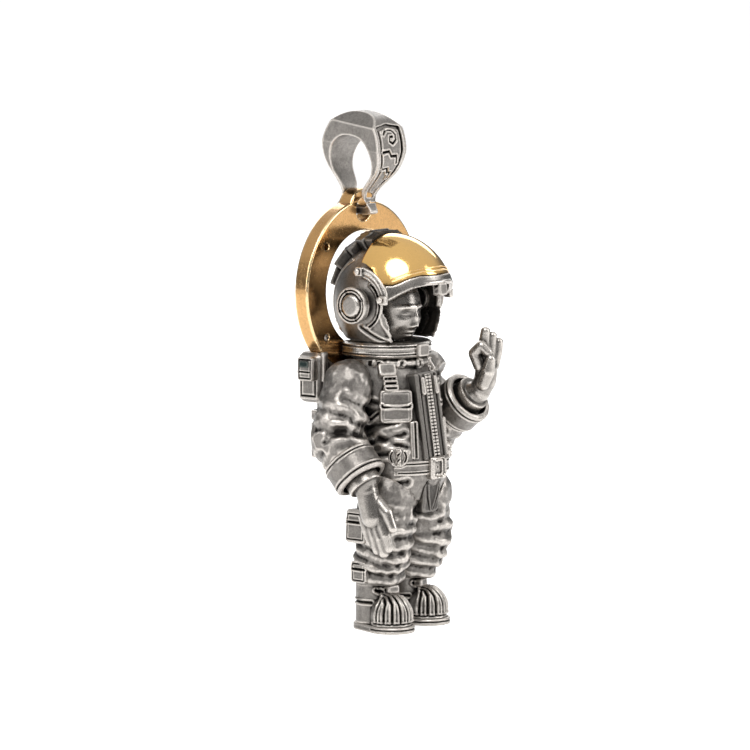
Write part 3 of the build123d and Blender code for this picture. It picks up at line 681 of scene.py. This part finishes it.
ARM_FOLDS = [
    (0.20, 0.34, -150, 130, 0.42, 0.34),
    (0.42, 0.30, -60, 110, 0.34, 0.32),
    (0.52, 0.66, -170, 120, 0.46, 0.34),
    (0.60, 0.50, 30, 120, 0.36, 0.32),
    (0.74, 0.66, -110, 130, 0.44, 0.32),
    (0.84, 0.90, -30, 140, 0.50, 0.34),
    (0.92, 0.98, -170, 110, 0.46, 0.34),
    (1.06, 1.02, -60, 140, 0.52, 0.34),
    (1.16, 1.24, 100, 130, 0.42, 0.32),
    (1.30, 1.22, -120, 120, 0.40, 0.30),
]
LEG_FOLDS = [
    (0.10, 0.26, -140, 120, 0.42, 0.36),
    (0.34, 0.22, 10, 110, 0.36, 0.34),
    (0.48, 0.62, -170, 130, 0.44, 0.36),
    (0.56, 0.46, -20, 120, 0.40, 0.34),
    (0.76, 0.84, -120, 150, 0.50, 0.36),
    (0.90, 0.80, 50, 120, 0.44, 0.34),
    (1.02, 1.10, -150, 160, 0.52, 0.36),
    (1.16, 1.06, 10, 140, 0.46, 0.34),
    (1.32, 1.40, -160, 170, 0.54, 0.36),
    (1.46, 1.36, 20, 150, 0.48, 0.34),
    (1.66, 1.74, -150, 170, 0.52, 0.34),
    (1.78, 1.68, 30, 140, 0.46, 0.32),
]


def mirrored_folds(folds, side):
    """The folds for one side; angles turn the other way on the figure's left."""
    return [(start, end, -side * angle, -side * sweep, depth, width)
            for start, end, angle, sweep, depth, width in folds]


class PENDANT_OT_suit(bpy.types.Operator):
    """Models the suit's torso, sleeves and trousers with their folds"""
    bl_idname = "pendant.suit"
    bl_label = "Suit"

    def execute(self, context):
        deep = context.scene.pendant_look.fold_depth
        self.torso(deep)
        for side, name in SIDES:
            self.sleeve(side, name, deep)
            self.trouser(side, name, deep)
        return {"FINISHED"}

    def torso(self, deep):
        obj = copy_of("torso", "torso_suit")
        cast(obj, 0.13, 6)
        ripple(obj, 0.30, 2.2)
        tree = surface_of(obj)
        paths = []
        for side in (-1, 1):
            for low, high, y_front, y_back, depth in (
                (23.8, 22.6, -6.4, -2.0, 0.34), (22.2, 23.2, -6.6, -3.4, 0.30),
                (25.2, 24.2, -5.0, -1.2, 0.30), (21.3, 20.9, -6.0, -1.0, 0.38),
                (17.8, 16.9, -6.8, -2.0, 0.34), (26.8, 28.0, -4.2, 0.4, 0.26),
            ):
                fold = places(((4.2, y_front, low), (6.4, y_back, high)), side)
                paths.append((fold, depth * deep, 0.34, 0.6))
            seam = places(((3.6, -4.6, 31.8), (5.2, -4.3, 29.0), (5.6, -3.6, 26.4), (6.0, -1.6, 25.0)), side)
            paths.append((seam, 0.22, 0.13, 0.9))
            paths.append(([point + Vector((side * 0.5, -0.3, 0)) * MM for point in seam], 0.16, 0.12, 0.8))
        for z in (24.2, 26.9, 29.2, 22.2):
            fold = places(((-4.4, 3.0, z), (0, 3.4, z - 0.5), (4.4, 3.0, z)))
            paths.append((fold, 0.26 * deep, 0.34, 0.6))
        crease(obj, tree, paths)
        keep_within(obj, 0, TORSO_SIDE)
        finish_piece(obj, "torso", OXIDISED)

    def sleeve(self, side, name, deep):
        obj = copy_of(f"sleeve_{name}", f"sleeve_{name}_suit")
        cast(obj, 0.12, 6)
        ripple(obj, 0.35, 1.9)
        spine = arm_spine(side)
        swell(obj, limb_swells(spine, (
            (0.82, 180, 0.45, 1.6), (1.12, 180, 0.45, 1.3), (0.6, -side * 90, 0.30, 1.5),
            (0.35, -side * 60, 0.25, 1.5), (1.25, -side * 60, 0.35, 1.2), (0.97, -side * 90, 0.4, 1.2),
        )))
        crease(obj, surface_of(obj), limb_folds(spine, mirrored_folds(ARM_FOLDS, side), deep))
        apply_modifier(obj, "SMOOTH", factor=0.4, iterations=1)
        keep_within(obj, SLEEVE_INSIDE, ARM_OUTSIDE)
        finish_piece(obj, f"sleeve_{name}", OXIDISED)

    def trouser(self, side, name, deep):
        obj = copy_of(f"leg_{name}", f"trouser_{name}")
        cast(obj, 0.12, 6)
        ripple(obj, 0.35, 2.0)
        spine = leg_spine(side)
        swell(obj, limb_swells(spine, (
            (0.70, -side * 20, 0.35, 1.5), (0.96, -side * 60, 0.4, 1.3), (1.24, -side * 10, 0.4, 1.3),
            (1.55, -side * 70, 0.45, 1.2), (1.60, side * 60, 0.3, 1.2), (1.1, 180, 0.3, 1.3),
        )))
        crease(obj, surface_of(obj), limb_folds(spine, mirrored_folds(LEG_FOLDS, side), deep))
        apply_modifier(obj, "SMOOTH", factor=0.4, iterations=1)
        finish_piece(obj, f"leg_{name}", OXIDISED)


# ------------------------------------------------------------------ helmet


def cut(obj, cutter, operation="DIFFERENCE"):
    """Cuts a piece with a closed cutter, which is then removed."""
    apply_modifier(obj, "BOOLEAN", object=cutter, operation=operation, solver="EXACT")
    bpy.data.objects.remove(cutter)


def side_prism(name, outline, half_width=9):
    """A prism across the head. The outline is a list of (y, z) in millimetres about the neck axis."""
    bpy.ops.object.select_all(action="DESELECT")
    bpy.ops.mesh.primitive_circle_add(vertices=len(outline), radius=1, fill_type="NGON")
    obj = bpy.context.object
    obj.name = name
    for vertex, (y, z) in zip(obj.data.vertices, outline):
        vertex.co = at(-half_width, y, z)
    across = {"value": (2 * half_width * MM, 0, 0)}
    edited(obj, lambda: bpy.ops.mesh.extrude_region_move(TRANSFORM_OT_translate=across))
    return obj


def ball(name, centre, radii, segments=64, rings=32):
    """A spheroid with its poles on the X axis."""
    bpy.ops.object.select_all(action="DESELECT")
    bpy.ops.mesh.primitive_uv_sphere_add(segments=segments, ring_count=rings, radius=1)
    obj = bpy.context.object
    obj.name = name
    points = points_of(obj)[:, [2, 1, 0]] * np.array([1, 1, -1])
    put_points(obj, points * np.array(radii) * MM + np.array(centre))
    edited(obj)
    return obj


def across_head():
    """The turn that lays a round piece's axis along X."""
    return Vector((1, 0, 0)).to_track_quat("Z", "Y").to_euler()


def disc(name, centre, radius, depth):
    """A cylinder about a point, with its axis along X."""
    bpy.ops.object.select_all(action="DESELECT")
    bpy.ops.mesh.primitive_cylinder_add(vertices=64, radius=radius * MM, depth=depth * MM,
                                        location=centre, rotation=across_head())
    bpy.ops.object.transform_apply(location=True, rotation=True, scale=True)
    obj = bpy.context.object
    obj.name = name
    return obj


def block(name, centre, size, facing):
    """A box with rounded edges: width, height and thickness, facing a direction."""
    bpy.ops.object.select_all(action="DESELECT")
    bpy.ops.mesh.primitive_cube_add(size=1)
    obj = bpy.context.object
    obj.name = name
    obj.scale = Vector(size) * MM
    bpy.ops.object.transform_apply(location=False, rotation=False, scale=True)
    apply_modifier(obj, "BEVEL", width=BLOCK_BEVEL * MM, segments=2)
    turn = np.array(Vector(facing).to_track_quat("Z", "Y").to_matrix())
    put_points(obj, points_of(obj) @ turn.T + np.array(centre))
    return obj


def torus(name, centre, major, minor):
    """A round ring about a point, with its axis along X."""
    bpy.ops.object.select_all(action="DESELECT")
    bpy.ops.mesh.primitive_torus_add(
        major_radius=major * MM, minor_radius=minor * MM, major_segments=64, minor_segments=12,
        location=centre, rotation=across_head())
    bpy.ops.object.transform_apply(location=True, rotation=True, scale=True)
    obj = bpy.context.object
    obj.name = name
    return obj


def bead(name, points, radius):
    """A round cord through the points, with closed ends."""
    curve = bpy.data.curves.new(name, "CURVE")
    curve.dimensions = "3D"
    curve.bevel_depth = radius * MM
    curve.bevel_resolution = 4
    curve.use_fill_caps = True
    spline = curve.splines.new("POLY")
    spline.points.add(len(points) - 1)
    for place, point in zip(spline.points, points):
        place.co = (*point, 1)
    obj = bpy.data.objects.new(name, curve)
    bpy.context.scene.collection.objects.link(obj)
    only(obj)
    bpy.ops.object.convert(target="MESH")
    return bpy.context.object


def joined(obj, others):
    """Joins the others into a piece."""
    only(obj)
    for other in others:
        other.select_set(True)
    bpy.ops.object.join()
    return obj


def bulge(obj, spots):
    """Moves a piece's surface forward about some places: centre, radii and height."""
    points = points_of(obj)
    push = np.zeros(len(points))
    for centre, radii, height in spots:
        away = (points - np.array(at(*centre))) / (np.array(radii) * MM)
        push += height * np.exp(-(away ** 2).sum(axis=1))
    points[:, 1] -= push * MM
    put_points(obj, points)


def ear_point(x, radius, angle):
    """A point about the ear axis; the angle is from the front, upwards."""
    turn = math.radians(angle)
    return at(x, EAR_Y - radius * math.cos(turn), EAR_Z + radius * math.sin(turn))


VISOR_EDGE = [
    (-9.2, 42.2), (-8.6, 42.35), (-8.0, 42.5), (-7.3, 42.45), (-6.6, 42.15), (-5.9, 41.7),
    (-5.2, 41.35), (-4.5, 41.35), (-3.8, 41.75), (-3.1, 42.4), (-2.4, 43.1), (-1.4, 43.6), (-0.6, 43.8),
]


class PENDANT_OT_helmet(bpy.types.Operator):
    """Models the helmet with its seams, crest, ear pods and face"""
    bl_idname = "pendant.helmet"
    bl_label = "Helmet"

    def execute(self, context):
        self.shell()
        self.crest()
        self.face()
        for side, name in SIDES:
            self.pod(side, name)
        return {"FINISHED"}

    def shell(self):
        obj = copy_of("helmet_shell", "helmet")
        cast(obj, 0.10, 4)
        tree = surface_of(obj)
        paths = []
        for side in (-1, 1):
            for gap, depth in ((0.0, 0.16), (0.62, 0.13)):
                seam = [ear_point(side * (4.6 - gap * 0.4), 6.5, angle + gap * 5)
                        for angle in range(118, 222, 12)]
                paths.append((seam, depth, 0.10, 0.8))
            brow = [ear_point(side * 6.0, 3.0, angle) for angle in range(-62, 62, 12)]
            paths.append((brow, 0.14, 0.10, 1.0))
            guard = places(((5.9, -1.4, 36.3), (5.6, -2.3, 35.6), (5.0, -3.3, 34.9), (4.2, -4.2, 34.5)), side)
            paths.append((guard, -0.17, 0.22, 0.0))
            under = [point + Vector((0, 0.6, -0.3)) * MM for point in guard]
            paths.append((under, 0.18, 0.22, 0.2))
            rim = places(((5.6, -3.6, 40.6), (5.7, -3.5, 38.4), (5.4, -3.7, 36.6), (4.6, -4.3, 35.0)), side)
            paths.append((rim, -0.12, 0.22, 0.0))
        paths.append(([ear_point(x, 7, 202) for x in (-4.5, -2, 2, 4.5)], 0.16, 0.12, 0.8))
        crease(obj, tree, paths)
        finish_piece(obj, "helmet_shell", OXIDISED)

    def crest(self):
        plates = []
        for angle, half_x, radius, run, thick in (
            (93, 3.0, 7.7, 2.3, 1.3), (107, 2.7, 7.85, 2.1, 1.5), (122, 2.3, 7.7, 2.5, 1.3),
            (139, 3.0, 7.55, 2.5, 1.5), (157, 2.7, 7.3, 2.6, 1.3),
        ):
            spot = ear_point(0, radius, angle)
            facing = (spot - ear_point(0, 0, 0)).normalized()
            plates.append(block("plate", spot, (half_x * 1.15, run, thick), facing))
            for side in (-1, 1):
                slope = Vector((side * 0.55, facing.y, facing.z))
                wing = spot + Vector((side * half_x * 0.66, 0, 0)) * MM - facing * 0.32 * MM
                plates.append(block("wing", wing, (half_x * 0.72, run * 0.86, thick), slope))
        obj = joined(plates[0], plates[1:])
        obj.name = "crest"
        cast(obj, 0.085, 1)
        points = points_of(obj)
        centre = np.array(at(0, 0, 40.1))
        across = points[:, [0, 2]] - centre[[0, 2]]
        far = np.linalg.norm(across, axis=1)
        behind = points[:, 1] > NECK_Y + 2.95 * MM
        limit = 6.3 * MM
        scale = np.where(behind & (far > limit), limit / np.maximum(far, 1e-9), 1.0)
        points[:, [0, 2]] = centre[[0, 2]] + across * scale[:, None]
        points[:, 1] = np.maximum(points[:, 1], NECK_Y - 0.45 * MM)
        put_points(obj, points)
        finish_piece(obj, "crest_plates", "dark_silver")

    def face(self):
        obj = ball("face", at(0, -0.6, 38.0), (3.35, 3.9, 4.9))
        cast(obj, 0.085, 4)
        spots = []
        for side in (-1, 1):
            spots += [
                ((side * 1.25, -4.2, 38.35), (1.25, 1.6, 0.34), 0.26),
                ((side * 1.30, -4.2, 37.65), (0.72, 1.8, 0.46), -0.42),
                ((side * 1.30, -4.0, 37.62), (0.50, 1.8, 0.25), 0.24),
                ((side * 0.42, -4.4, 36.0), (0.24, 1.8, 0.22), 0.26),
                ((side * 1.85, -3.4, 36.5), (0.80, 1.8, 0.80), 0.16),
                ((side * 1.55, -3.6, 35.3), (0.55, 1.8, 0.70), -0.14),
            ]
        spots += [
            ((0, -4.5, 37.0), (0.34, 1.8, 0.95), 0.48),
            ((0, -4.5, 36.15), (0.40, 1.8, 0.38), 0.50),
            ((0, -4.3, 35.32), (0.66, 1.8, 0.17), 0.20),
            ((0, -4.3, 35.10), (0.80, 1.8, 0.07), -0.20),
            ((0, -4.3, 34.86), (0.52, 1.8, 0.17), 0.22),
        ]
        bulge(obj, spots)
        edited(obj, lambda: bpy.ops.mesh.bisect(
            plane_co=at(0, 0, 34.4), plane_no=(0, 0, 1), clear_inner=True, use_fill=True))
        finish_piece(obj, "face_mask", "polished_silver")

    def pod(self, side, name):
        obj = copy_of(f"ear_pod_{name}", f"ear_{name}")
        rim = torus("rim", ear_point(side * 7.38, 0, 0), 2.02, 0.17)
        inner = torus("inner", ear_point(side * 7.40, 0, 0), 1.66, 0.13)
        joined(obj, [rim, inner])
        cast(obj, 0.055, 1)
        tree = surface_of(obj)
        gaps = [
            ([ear_point(side * 7.5, 1.45, angle), ear_point(side * 7.5, 1.84, angle)], 0.22, 0.13, 0.0)
            for angle in (25, 115, 205, 295)
        ]
        groove = [ear_point(side * 7.5, 1.84, angle) for angle in range(0, 361, 15)]
        crease(obj, tree, gaps + [(groove, 0.12, 0.06, 0.0)])
        finish_piece(obj, f"ear_pod_{name}", OXIDISED)


class PENDANT_OT_visor(bpy.types.Operator):
    """Models the raised visor: the brass dome and its silver frame"""
    bl_idname = "pendant.visor"
    bl_label = "Visor"

    def execute(self, context):
        self.dome()
        self.frame_band()
        return {"FINISHED"}

    def shell_of(self, name, grow, wall):
        """The visor's whole bowl, before it is cut to its outline."""
        centre = at(0, EAR_Y, EAR_Z)
        outer = ball(name, centre, VISOR_RADII + grow, 128, 64)
        cut(outer, ball("inner", centre, VISOR_RADII - wall, 96, 48))
        return outer

    def dome(self):
        obj = self.shell_of("visor_gold", 0.0, VISOR_WALL)
        cut(obj, side_prism("keep", VISOR_EDGE + [(-0.6, 48.5), (-9.2, 48.5)]), "INTERSECT")
        cut(obj, disc("ear_hole", at(0, EAR_Y, EAR_Z), 4.32, 30))
        cut(obj, side_prism("rear", [(EAR_Y, EAR_Z), (2.5, 52.0), (4, 60), (9, 60), (9, EAR_Z)]))
        apply_modifier(obj, "BEVEL", width=0.09 * MM, segments=2, limit_method="ANGLE",
                       angle_limit=math.radians(40))
        finish_piece(obj, "visor_dome", "brass")
        for lift, radius in ((0.42, 0.10), (0.80, 0.07)):
            self.lip_bead(lift, radius)

    def lip_bead(self, lift, radius):
        """A raised line that follows the dome's lower edge over the front."""
        line = []
        for step in range(-24, 25):
            turn = step / 24 * math.radians(50)
            x = VISOR_RADII[0] * math.sin(turn)
            reach = VISOR_RADII[1] * math.cos(turn) + 0.02
            low, high = 0.0, math.pi / 2
            for _ in range(30):
                middle = (low + high) / 2
                edge = float(np.interp(EAR_Y - reach * math.cos(middle), *zip(*VISOR_EDGE)))
                if EAR_Z + reach * math.sin(middle) < edge + lift:
                    low = middle
                else:
                    high = middle
            line.append(at(x, EAR_Y - reach * math.cos(high), EAR_Z + reach * math.sin(high)))
        obj = bead(f"visor_lip_{int(lift * 100)}", line, radius)
        finish_piece(obj, [], "brass", "visor")

    def frame_band(self):
        band = self.shell_of("visor_band", 0.10, 0.5)
        low = [(y, z - 0.12) for y, z in VISOR_EDGE[:8]]
        lip = [(-3.9, 39.15), (-5.0, 39.55), (-6.0, 40.25), (-7.0, 40.95), (-8.0, 41.25), (-9.2, 41.2)]
        cut(band, side_prism("keep", low + lip), "INTERSECT")
        pieces = []
        for side in (-1, 1):
            for x, radius, start, stop, thick in (
                (6.0, 3.45, 8, 90, 0.17), (5.95, 4.35, 14, 92, 0.19), (5.85, 3.9, 10, 90, 0.36),
            ):
                rail = [ear_point(side * x, radius, angle) for angle in range(start, stop, 6)]
                pieces.append(bead("rail", rail, thick))
            for angle in (11, 86):
                spot = ear_point(side * 6.2, 3.95, angle)
                pieces.append(block("end", spot, (1.0, 1.1, 0.6), (side, 0, 0)))
            pieces.append(bead("lip", places((
                (5.6, -4.4, 40.0), (5.0, -5.5, 40.4), (4.2, -6.4, 41.0),
                (3.2, -7.3, 41.4), (2.0, -8.1, 41.55), (0, -8.55, 41.6)), side), 0.16))
        obj = joined(band, pieces)
        cast(obj, 0.075, 2)
        finish_piece(obj, "visor_frame", "polished_silver")


# ------------------------------------------------------------------ trim


def pane(centre, facing, lift=0.9):
    """Points in front of a flat piece, by their place across and up it in millimetres."""
    normal = Vector(facing).normalized()
    up = (Vector((0, 0, 1)) - normal * normal.z).normalized()
    right = up.cross(normal)
    middle = at(*centre) + normal * lift * MM

    def place(u, v):
        return middle + (right * u + up * v) * MM

    return place


def rectangle(place, half_u, half_v):
    """The closed outline of a rectangle on a pane."""
    return [place(u * half_u, v * half_v) for u, v in ((-1, -1), (1, -1), (1, 1), (-1, 1), (-1, -1))]


def detailed(node, paths, finish=None, voxel=0.06, smooth=2):
    """A casting of a CAD node with lines pressed into it."""
    obj = copy_of(node, f"{node}_cast")
    cast(obj, voxel, smooth)
    crease(obj, surface_of(obj), paths)
    return finish_piece(obj, node, finish or SLOT_OF[node])


class PENDANT_OT_chest(bpy.types.Operator):
    """Models the straps, pouches, zip and belt on the torso"""
    bl_idname = "pendant.chest"
    bl_label = "Chest trim"

    def execute(self, context):
        self.front()
        self.collar()
        for side, name in SIDES:
            self.side_trim(side, name)
        return {"FINISHED"}

    def front(self):
        front = pane((0, -6.9, 25.6), (0, -1, 0.16))
        edges = []
        for side in (-1, 1):
            for u, depth, width, lip in (
                (1.78, -0.16, 0.14, 0.0), (1.42, 0.16, 0.10, 0.3), (1.00, -0.10, 0.10, 0.0),
            ):
                edges.append(([front(side * u, -4.9), front(side * u, 4.9)], depth, width, lip))
        detailed("placket", edges, voxel=0.07)
        teeth = [([front(-0.42, v * 0.40), front(0.42, v * 0.40)], 0.13, 0.075, 0.0) for v in range(-12, 13)]
        teeth.append(([front(0, -4.9), front(0, 4.9)], 0.14, 0.07, 0.0))
        detailed("zip_strip", teeth, OXIDISED, voxel=0.05, smooth=1)
        buckle = pane((0, -8.15, 19.5), (0, -1, 0.05))
        detailed("belt_buckle", [(rectangle(buckle, 0.85, 0.75), 0.26, 0.12, 0.5),
                                 ([buckle(0, -0.7), buckle(0, 0.7)], 0.12, 0.1, 0.3)], voxel=0.055)
        belt = [([at(5.4 * x, 5.4 * y - 2.8, z) for x, y in arc(-90, 91, 10)], 0.12, 0.08, 0.5)
                for z in (19.08, 20.12)]
        detailed("belt", belt, voxel=0.07)
        groin = pane((0, -7.1, 16.2), (0, -1, -0.12))
        lines = []
        for side in (-1, 1):
            for gap, depth in ((0.0, 0.14), (0.34, -0.13)):
                line = [(1.35 - gap, 2.0), (0.95 - gap, -0.2), (0.12, -2.1)]
                lines.append(([groin(side * u, v) for u, v in line], depth, 0.12, 0.0))
        detailed("groin_panel", lines, voxel=0.055)

    def collar(self):
        ring = arc(0, 361, 10)
        grooves = [([at(5.6 * x, 5.6 * y, z) for x, y in ring], 0.13, 0.09, 0.4) for z in (32.85, 33.75)]
        detailed("neck_ring", grooves, voxel=0.08)
        obj = copy_of("collar_roll", "collar")
        cast(obj, 0.09, 4)
        ripple(obj, 0.22, 1.3)
        folds = [([at(5.4 * x, 5.4 * y, 31.2), at(5.9 * x, 5.9 * y, 32.3)], 0.22, 0.2, 0.5)
                 for x, y in ring[::3]]
        crease(obj, surface_of(obj), folds)
        finish_piece(obj, "collar_roll", OXIDISED)

    def side_trim(self, side, name):
        strap = pane((side * 4.05, -3.9, 30.4), (side * 0.5, -0.72, 0.48))
        bars = [([strap(-0.8, v), strap(0.8, v)], 0.24, 0.12, 0.45) for v in (-1.5, -0.9, -0.3, 0.3, 0.9)]
        detailed(f"chest_strap_{name}", bars, voxel=0.055)
        pouch = pane((side * 4.15, -4.9, 26.9), (side * 0.66, -0.75, 0.1))
        flap = [pouch(-2.1, 0.1), pouch(-1.4, -0.1), pouch(1.4, -0.1), pouch(2.1, 0.1)]
        obj = copy_of(f"chest_pouch_{name}", f"pouch_{name}")
        cast(obj, 0.07, 5)
        tree = surface_of(obj)
        swell(obj, [(pouch(0, 0.9), 0.22, 1.5), (pouch(0, -1.0), 0.20, 1.4)])
        crease(obj, tree, [(flap, 0.24, 0.13, 0.5), (rectangle(pouch, 1.7, 1.7), 0.06, 0.10, 0.5)])
        keep_within(obj, 0, POUCH_SIDE)
        finish_piece(obj, f"chest_pouch_{name}", OXIDISED)
        low = pane((side * 2.9, -6.75, 22.9), (side * 0.35, -1, 0.1))
        detailed(f"lower_strap_{name}", [([low(0, -2.1), low(0, 2.1)], 0.2, 0.12, 0.5)], voxel=0.05)
        dial = pane((side * 4.75, -5.7, 21.0), (side * 0.74, -0.67, 0), 0.5)
        slots = [([dial(u - 0.45, v - 0.36), dial(u + 0.45, v + 0.36)], 0.15, 0.09, 0.6)
                 for u, v in ((-0.16, 0.20), (0.16, -0.20))]
        circle = [dial(0.93 * x, 0.93 * y) for x, y in arc(0, 361, 15)]
        detailed(f"hip_dial_{name}", [(circle, 0.12, 0.08, 0.8), *slots], voxel=0.045, smooth=1)


class PENDANT_OT_lower(bpy.types.Operator):
    """Models the cuffs, gloves, pockets and boots"""
    bl_idname = "pendant.lower"
    bl_label = "Cuffs, pockets and boots"

    def execute(self, context):
        for side, name in SIDES:
            self.cuff(side, name)
            self.pockets(side, name)
            self.boot(side, name)
            detailed(f"glove_{name}", [], voxel=0.075, smooth=3)
        return {"FINISHED"}

    def cuff(self, side, name):
        spine = arm_spine(side)
        axis = (spine[2] - spine[1]).normalized()
        first, second = frame_along(axis)
        rings = []
        for back, depth in ((0.55, 0.13), (2.95, 0.16)):
            middle = spine[2] - axis * back * MM
            circle = [middle + (first * math.cos(turn) + second * math.sin(turn)) * 3.3 * MM
                      for turn in np.linspace(0, 2 * math.pi, 33)]
            rings.append((circle, depth, 0.13, 0.6))
        obj = copy_of(f"cuff_{name}", f"cuff_{name}_cast")
        cast(obj, 0.09, 4)
        ripple(obj, 0.12, 1.6)
        crease(obj, surface_of(obj), rings)
        keep_within(obj, 0, ARM_OUTSIDE)
        finish_piece(obj, f"cuff_{name}", OXIDISED)

    def pockets(self, side, name):
        for node, x, y, z, half_u, half_v in (
            ("thigh_pocket", 7.45, -1.3, 12.7, 1.3, 1.5),
            ("calf_pocket", 7.05, ANKLE_Y[side] + 0.3, 7.2, 0.95, 1.0),
        ):
            face = pane((side * x, y, z), (side, 0, 0))
            flap = [face(-half_u - 0.3, half_v * 0.35), face(half_u + 0.3, half_v * 0.35)]
            lines = [(flap, 0.2, 0.12, 0.6), (rectangle(face, half_u, half_v), 0.10, 0.09, 0.6)]
            detailed(f"{node}_{name}", lines, voxel=0.06, smooth=4)

    def boot(self, side, name):
        splay = math.radians(12)
        ahead = Vector((side * math.sin(splay), -math.cos(splay), 0))
        across = Vector((math.cos(splay), side * math.sin(splay), 0))

        def local(x, y, z):
            return at(side * 3.4, ANKLE_Y[side], z) + (across * x - ahead * y) * MM

        def bend(radius, middle, z, turns):
            return [local(radius * math.sin(turn), middle - radius * math.cos(turn), z) for turn in turns]

        obj = copy_of(f"boot_{name}", f"boot_{name}_cast")
        cast(obj, 0.085, 4)
        paths = []
        for x in np.linspace(-1.5, 1.5, 8):
            sweep, lean = math.sin(x), math.cos(x)
            rib = [local(2.8 * sweep, -2.3 - 2.8 * lean, 1.3), local(2.1 * sweep, -2.3 - 2.1 * lean, 3.6),
                   local(1.5 * sweep, -2.1 - 0.6 * lean, 4.6), local(1.3 * sweep, -0.9, 4.9)]
            paths.append((rib, 0.26, 0.15, 0.5))
        welt = bend(2.7, -2.3, 1.02, np.linspace(-1.8, 1.8, 21))
        paths.append((welt, 0.22, 0.12, 0.7))
        band = bend(2.6, 0.6, 3.4, np.linspace(0.9, 2 * math.pi - 0.9, 25))
        paths.append((band, 0.20, 0.14, 0.6))
        crease(obj, surface_of(obj), paths)
        finish_piece(obj, f"boot_{name}", OXIDISED)
        sole = bend(2.9, -2.0, 0.42, np.linspace(-1.7, 1.7, 21))
        detailed(f"sole_{name}", [(sole, 0.12, 0.09, 0.3)], voxel=0.07)


class PENDANT_OT_back(bpy.types.Operator):
    """Models the backpack with its panels and the control box"""
    bl_idname = "pendant.back"
    bl_label = "Backpack"

    def execute(self, context):
        rear = pane((0, 6.8, 30.0), (0, 1, 0), 0.3)
        lines = [(rectangle(rear, 6.6, 2.1), 0.20, 0.13, 0.5)]
        for side in (-1, 1):
            lines.append(([rear(side * 2.4, -2.1), rear(side * 2.4, 2.1)], 0.16, 0.12, 0.4))
            lines.append(([rear(side * 2.4, 0.5), rear(side * 6.6, 0.5)], 0.14, 0.1, 0.4))
            flank = pane((side * 8.4, 5.1, 30.0), (side, 0, 0), 0.3)
            lines.append((rectangle(flank, 1.1, 2.2), 0.16, 0.12, 0.4))
        detailed("backpack", lines, voxel=0.10, smooth=2)
        box = pane((-9.35, 4.8, 31.1), (-1, 0, 0), 0.7)
        detailed("control_box", [(rectangle(box, 0.85, 1.1), 0.12, 0.09, 0.6),
                                 ([box(-0.8, -0.35), box(0.8, -0.35)], 0.12, 0.09, 0.5)], voxel=0.05)
        detailed("hose_stack", [([at(x, 7.2, 20), at(x, 7.2, 27)], 0.16, 0.14, 0.4) for x in (-3.2, 0, 3.2)],
                 OXIDISED, voxel=0.10, smooth=3)
        return {"FINISHED"}


class PENDANT_OT_bail(bpy.types.Operator):
    """Models the hanging loop and its carved front"""
    bl_idname = "pendant.bail"
    bl_label = "Bail"

    def execute(self, context):
        def carved(x, z):
            y = float(np.interp(z, (51.5, 54.0, 58.0, 60.0), (1.5, 0.1, -1.2, -0.5)))
            return at(x, y - 0.4, z)

        curl = [(-1.2, 58.9), (-0.5, 59.5), (0.4, 59.4), (0.95, 58.8), (0.85, 58.0), (0.25, 57.6),
                (-0.3, 57.9), (-0.1, 58.5), (0.3, 58.5)]
        step = [(-1.6, 56.5), (-0.5, 56.6), (-0.1, 56.0), (0.9, 56.0), (1.05, 55.2)]
        notch = [(-1.2, 54.4), (-0.3, 54.5), (0.0, 53.9), (0.55, 53.9), (0.6, 53.1)]
        lines = [([carved(x, z) for x, z in line], 0.24, 0.13, 0.45) for line in (curl, step, notch)]
        detailed("bail_inlay", lines, OXIDISED, voxel=0.055, smooth=1)
        plain_casting("bail", OXIDISED, 0.06, 1)
        return {"FINISHED"}


# ------------------------------------------------------------------ castings

PLAIN_CASTINGS = [
    "shoulder_pins", "neck_clasp", "zip_pulls", "strap_buckle_right", "strap_buckle_left",
    "ankle_buckles", "control_screen", "pack_rails", "hose_bracket", "ring_pins",
    "hood_liner", "visor_latch", "frame_studs", "ear_caps",
]


class PENDANT_OT_castings(bpy.types.Operator):
    """Finishes the pieces that keep their drawn shape"""
    bl_idname = "pendant.castings"
    bl_label = "Plain castings"

    def execute(self, context):
        for node in PLAIN_CASTINGS:
            plain_casting(node)
        plain_casting("halo_ring", "ring_brass", 0.10)
        return {"FINISHED"}


STEPS = [PENDANT_OT_suit, PENDANT_OT_helmet, PENDANT_OT_visor, PENDANT_OT_chest, PENDANT_OT_lower,
         PENDANT_OT_back, PENDANT_OT_bail, PENDANT_OT_castings, PENDANT_OT_stage]


class PENDANT_PT_panel(bpy.types.Panel):
    """Lists the pieces and the stage"""
    bl_idname = "PENDANT_PT_panel"
    bl_label = "Astronaut Pendant"
    bl_space_type = "VIEW_3D"
    bl_region_type = "UI"
    bl_category = "Pendant"

    def draw(self, context):
        for group in (context.scene.pendant_look, context.scene.pendant_stage):
            for name in type(group).__annotations__:
                self.layout.prop(group, name)
        for step in STEPS:
            self.layout.operator(step.bl_idname)


CLASSES = [PendantLook, PendantStage, *STEPS, PENDANT_PT_panel]


def register():
    for item in CLASSES:
        bpy.utils.register_class(item)
    bpy.types.Scene.pendant_look = bpy.props.PointerProperty(type=PendantLook)
    bpy.types.Scene.pendant_stage = bpy.props.PointerProperty(type=PendantStage)


def unregister():
    del bpy.types.Scene.pendant_stage
    del bpy.types.Scene.pendant_look
    for item in reversed(CLASSES):
        bpy.utils.unregister_class(item)


def main():
    register()
    for step in STEPS:
        group, name = step.bl_idname.split(".")
        if getattr(getattr(bpy.ops, group), name)() != {"FINISHED"}:
            raise RuntimeError(f"{step.bl_idname} did not finish")


if __name__ == "__main__":
    main()
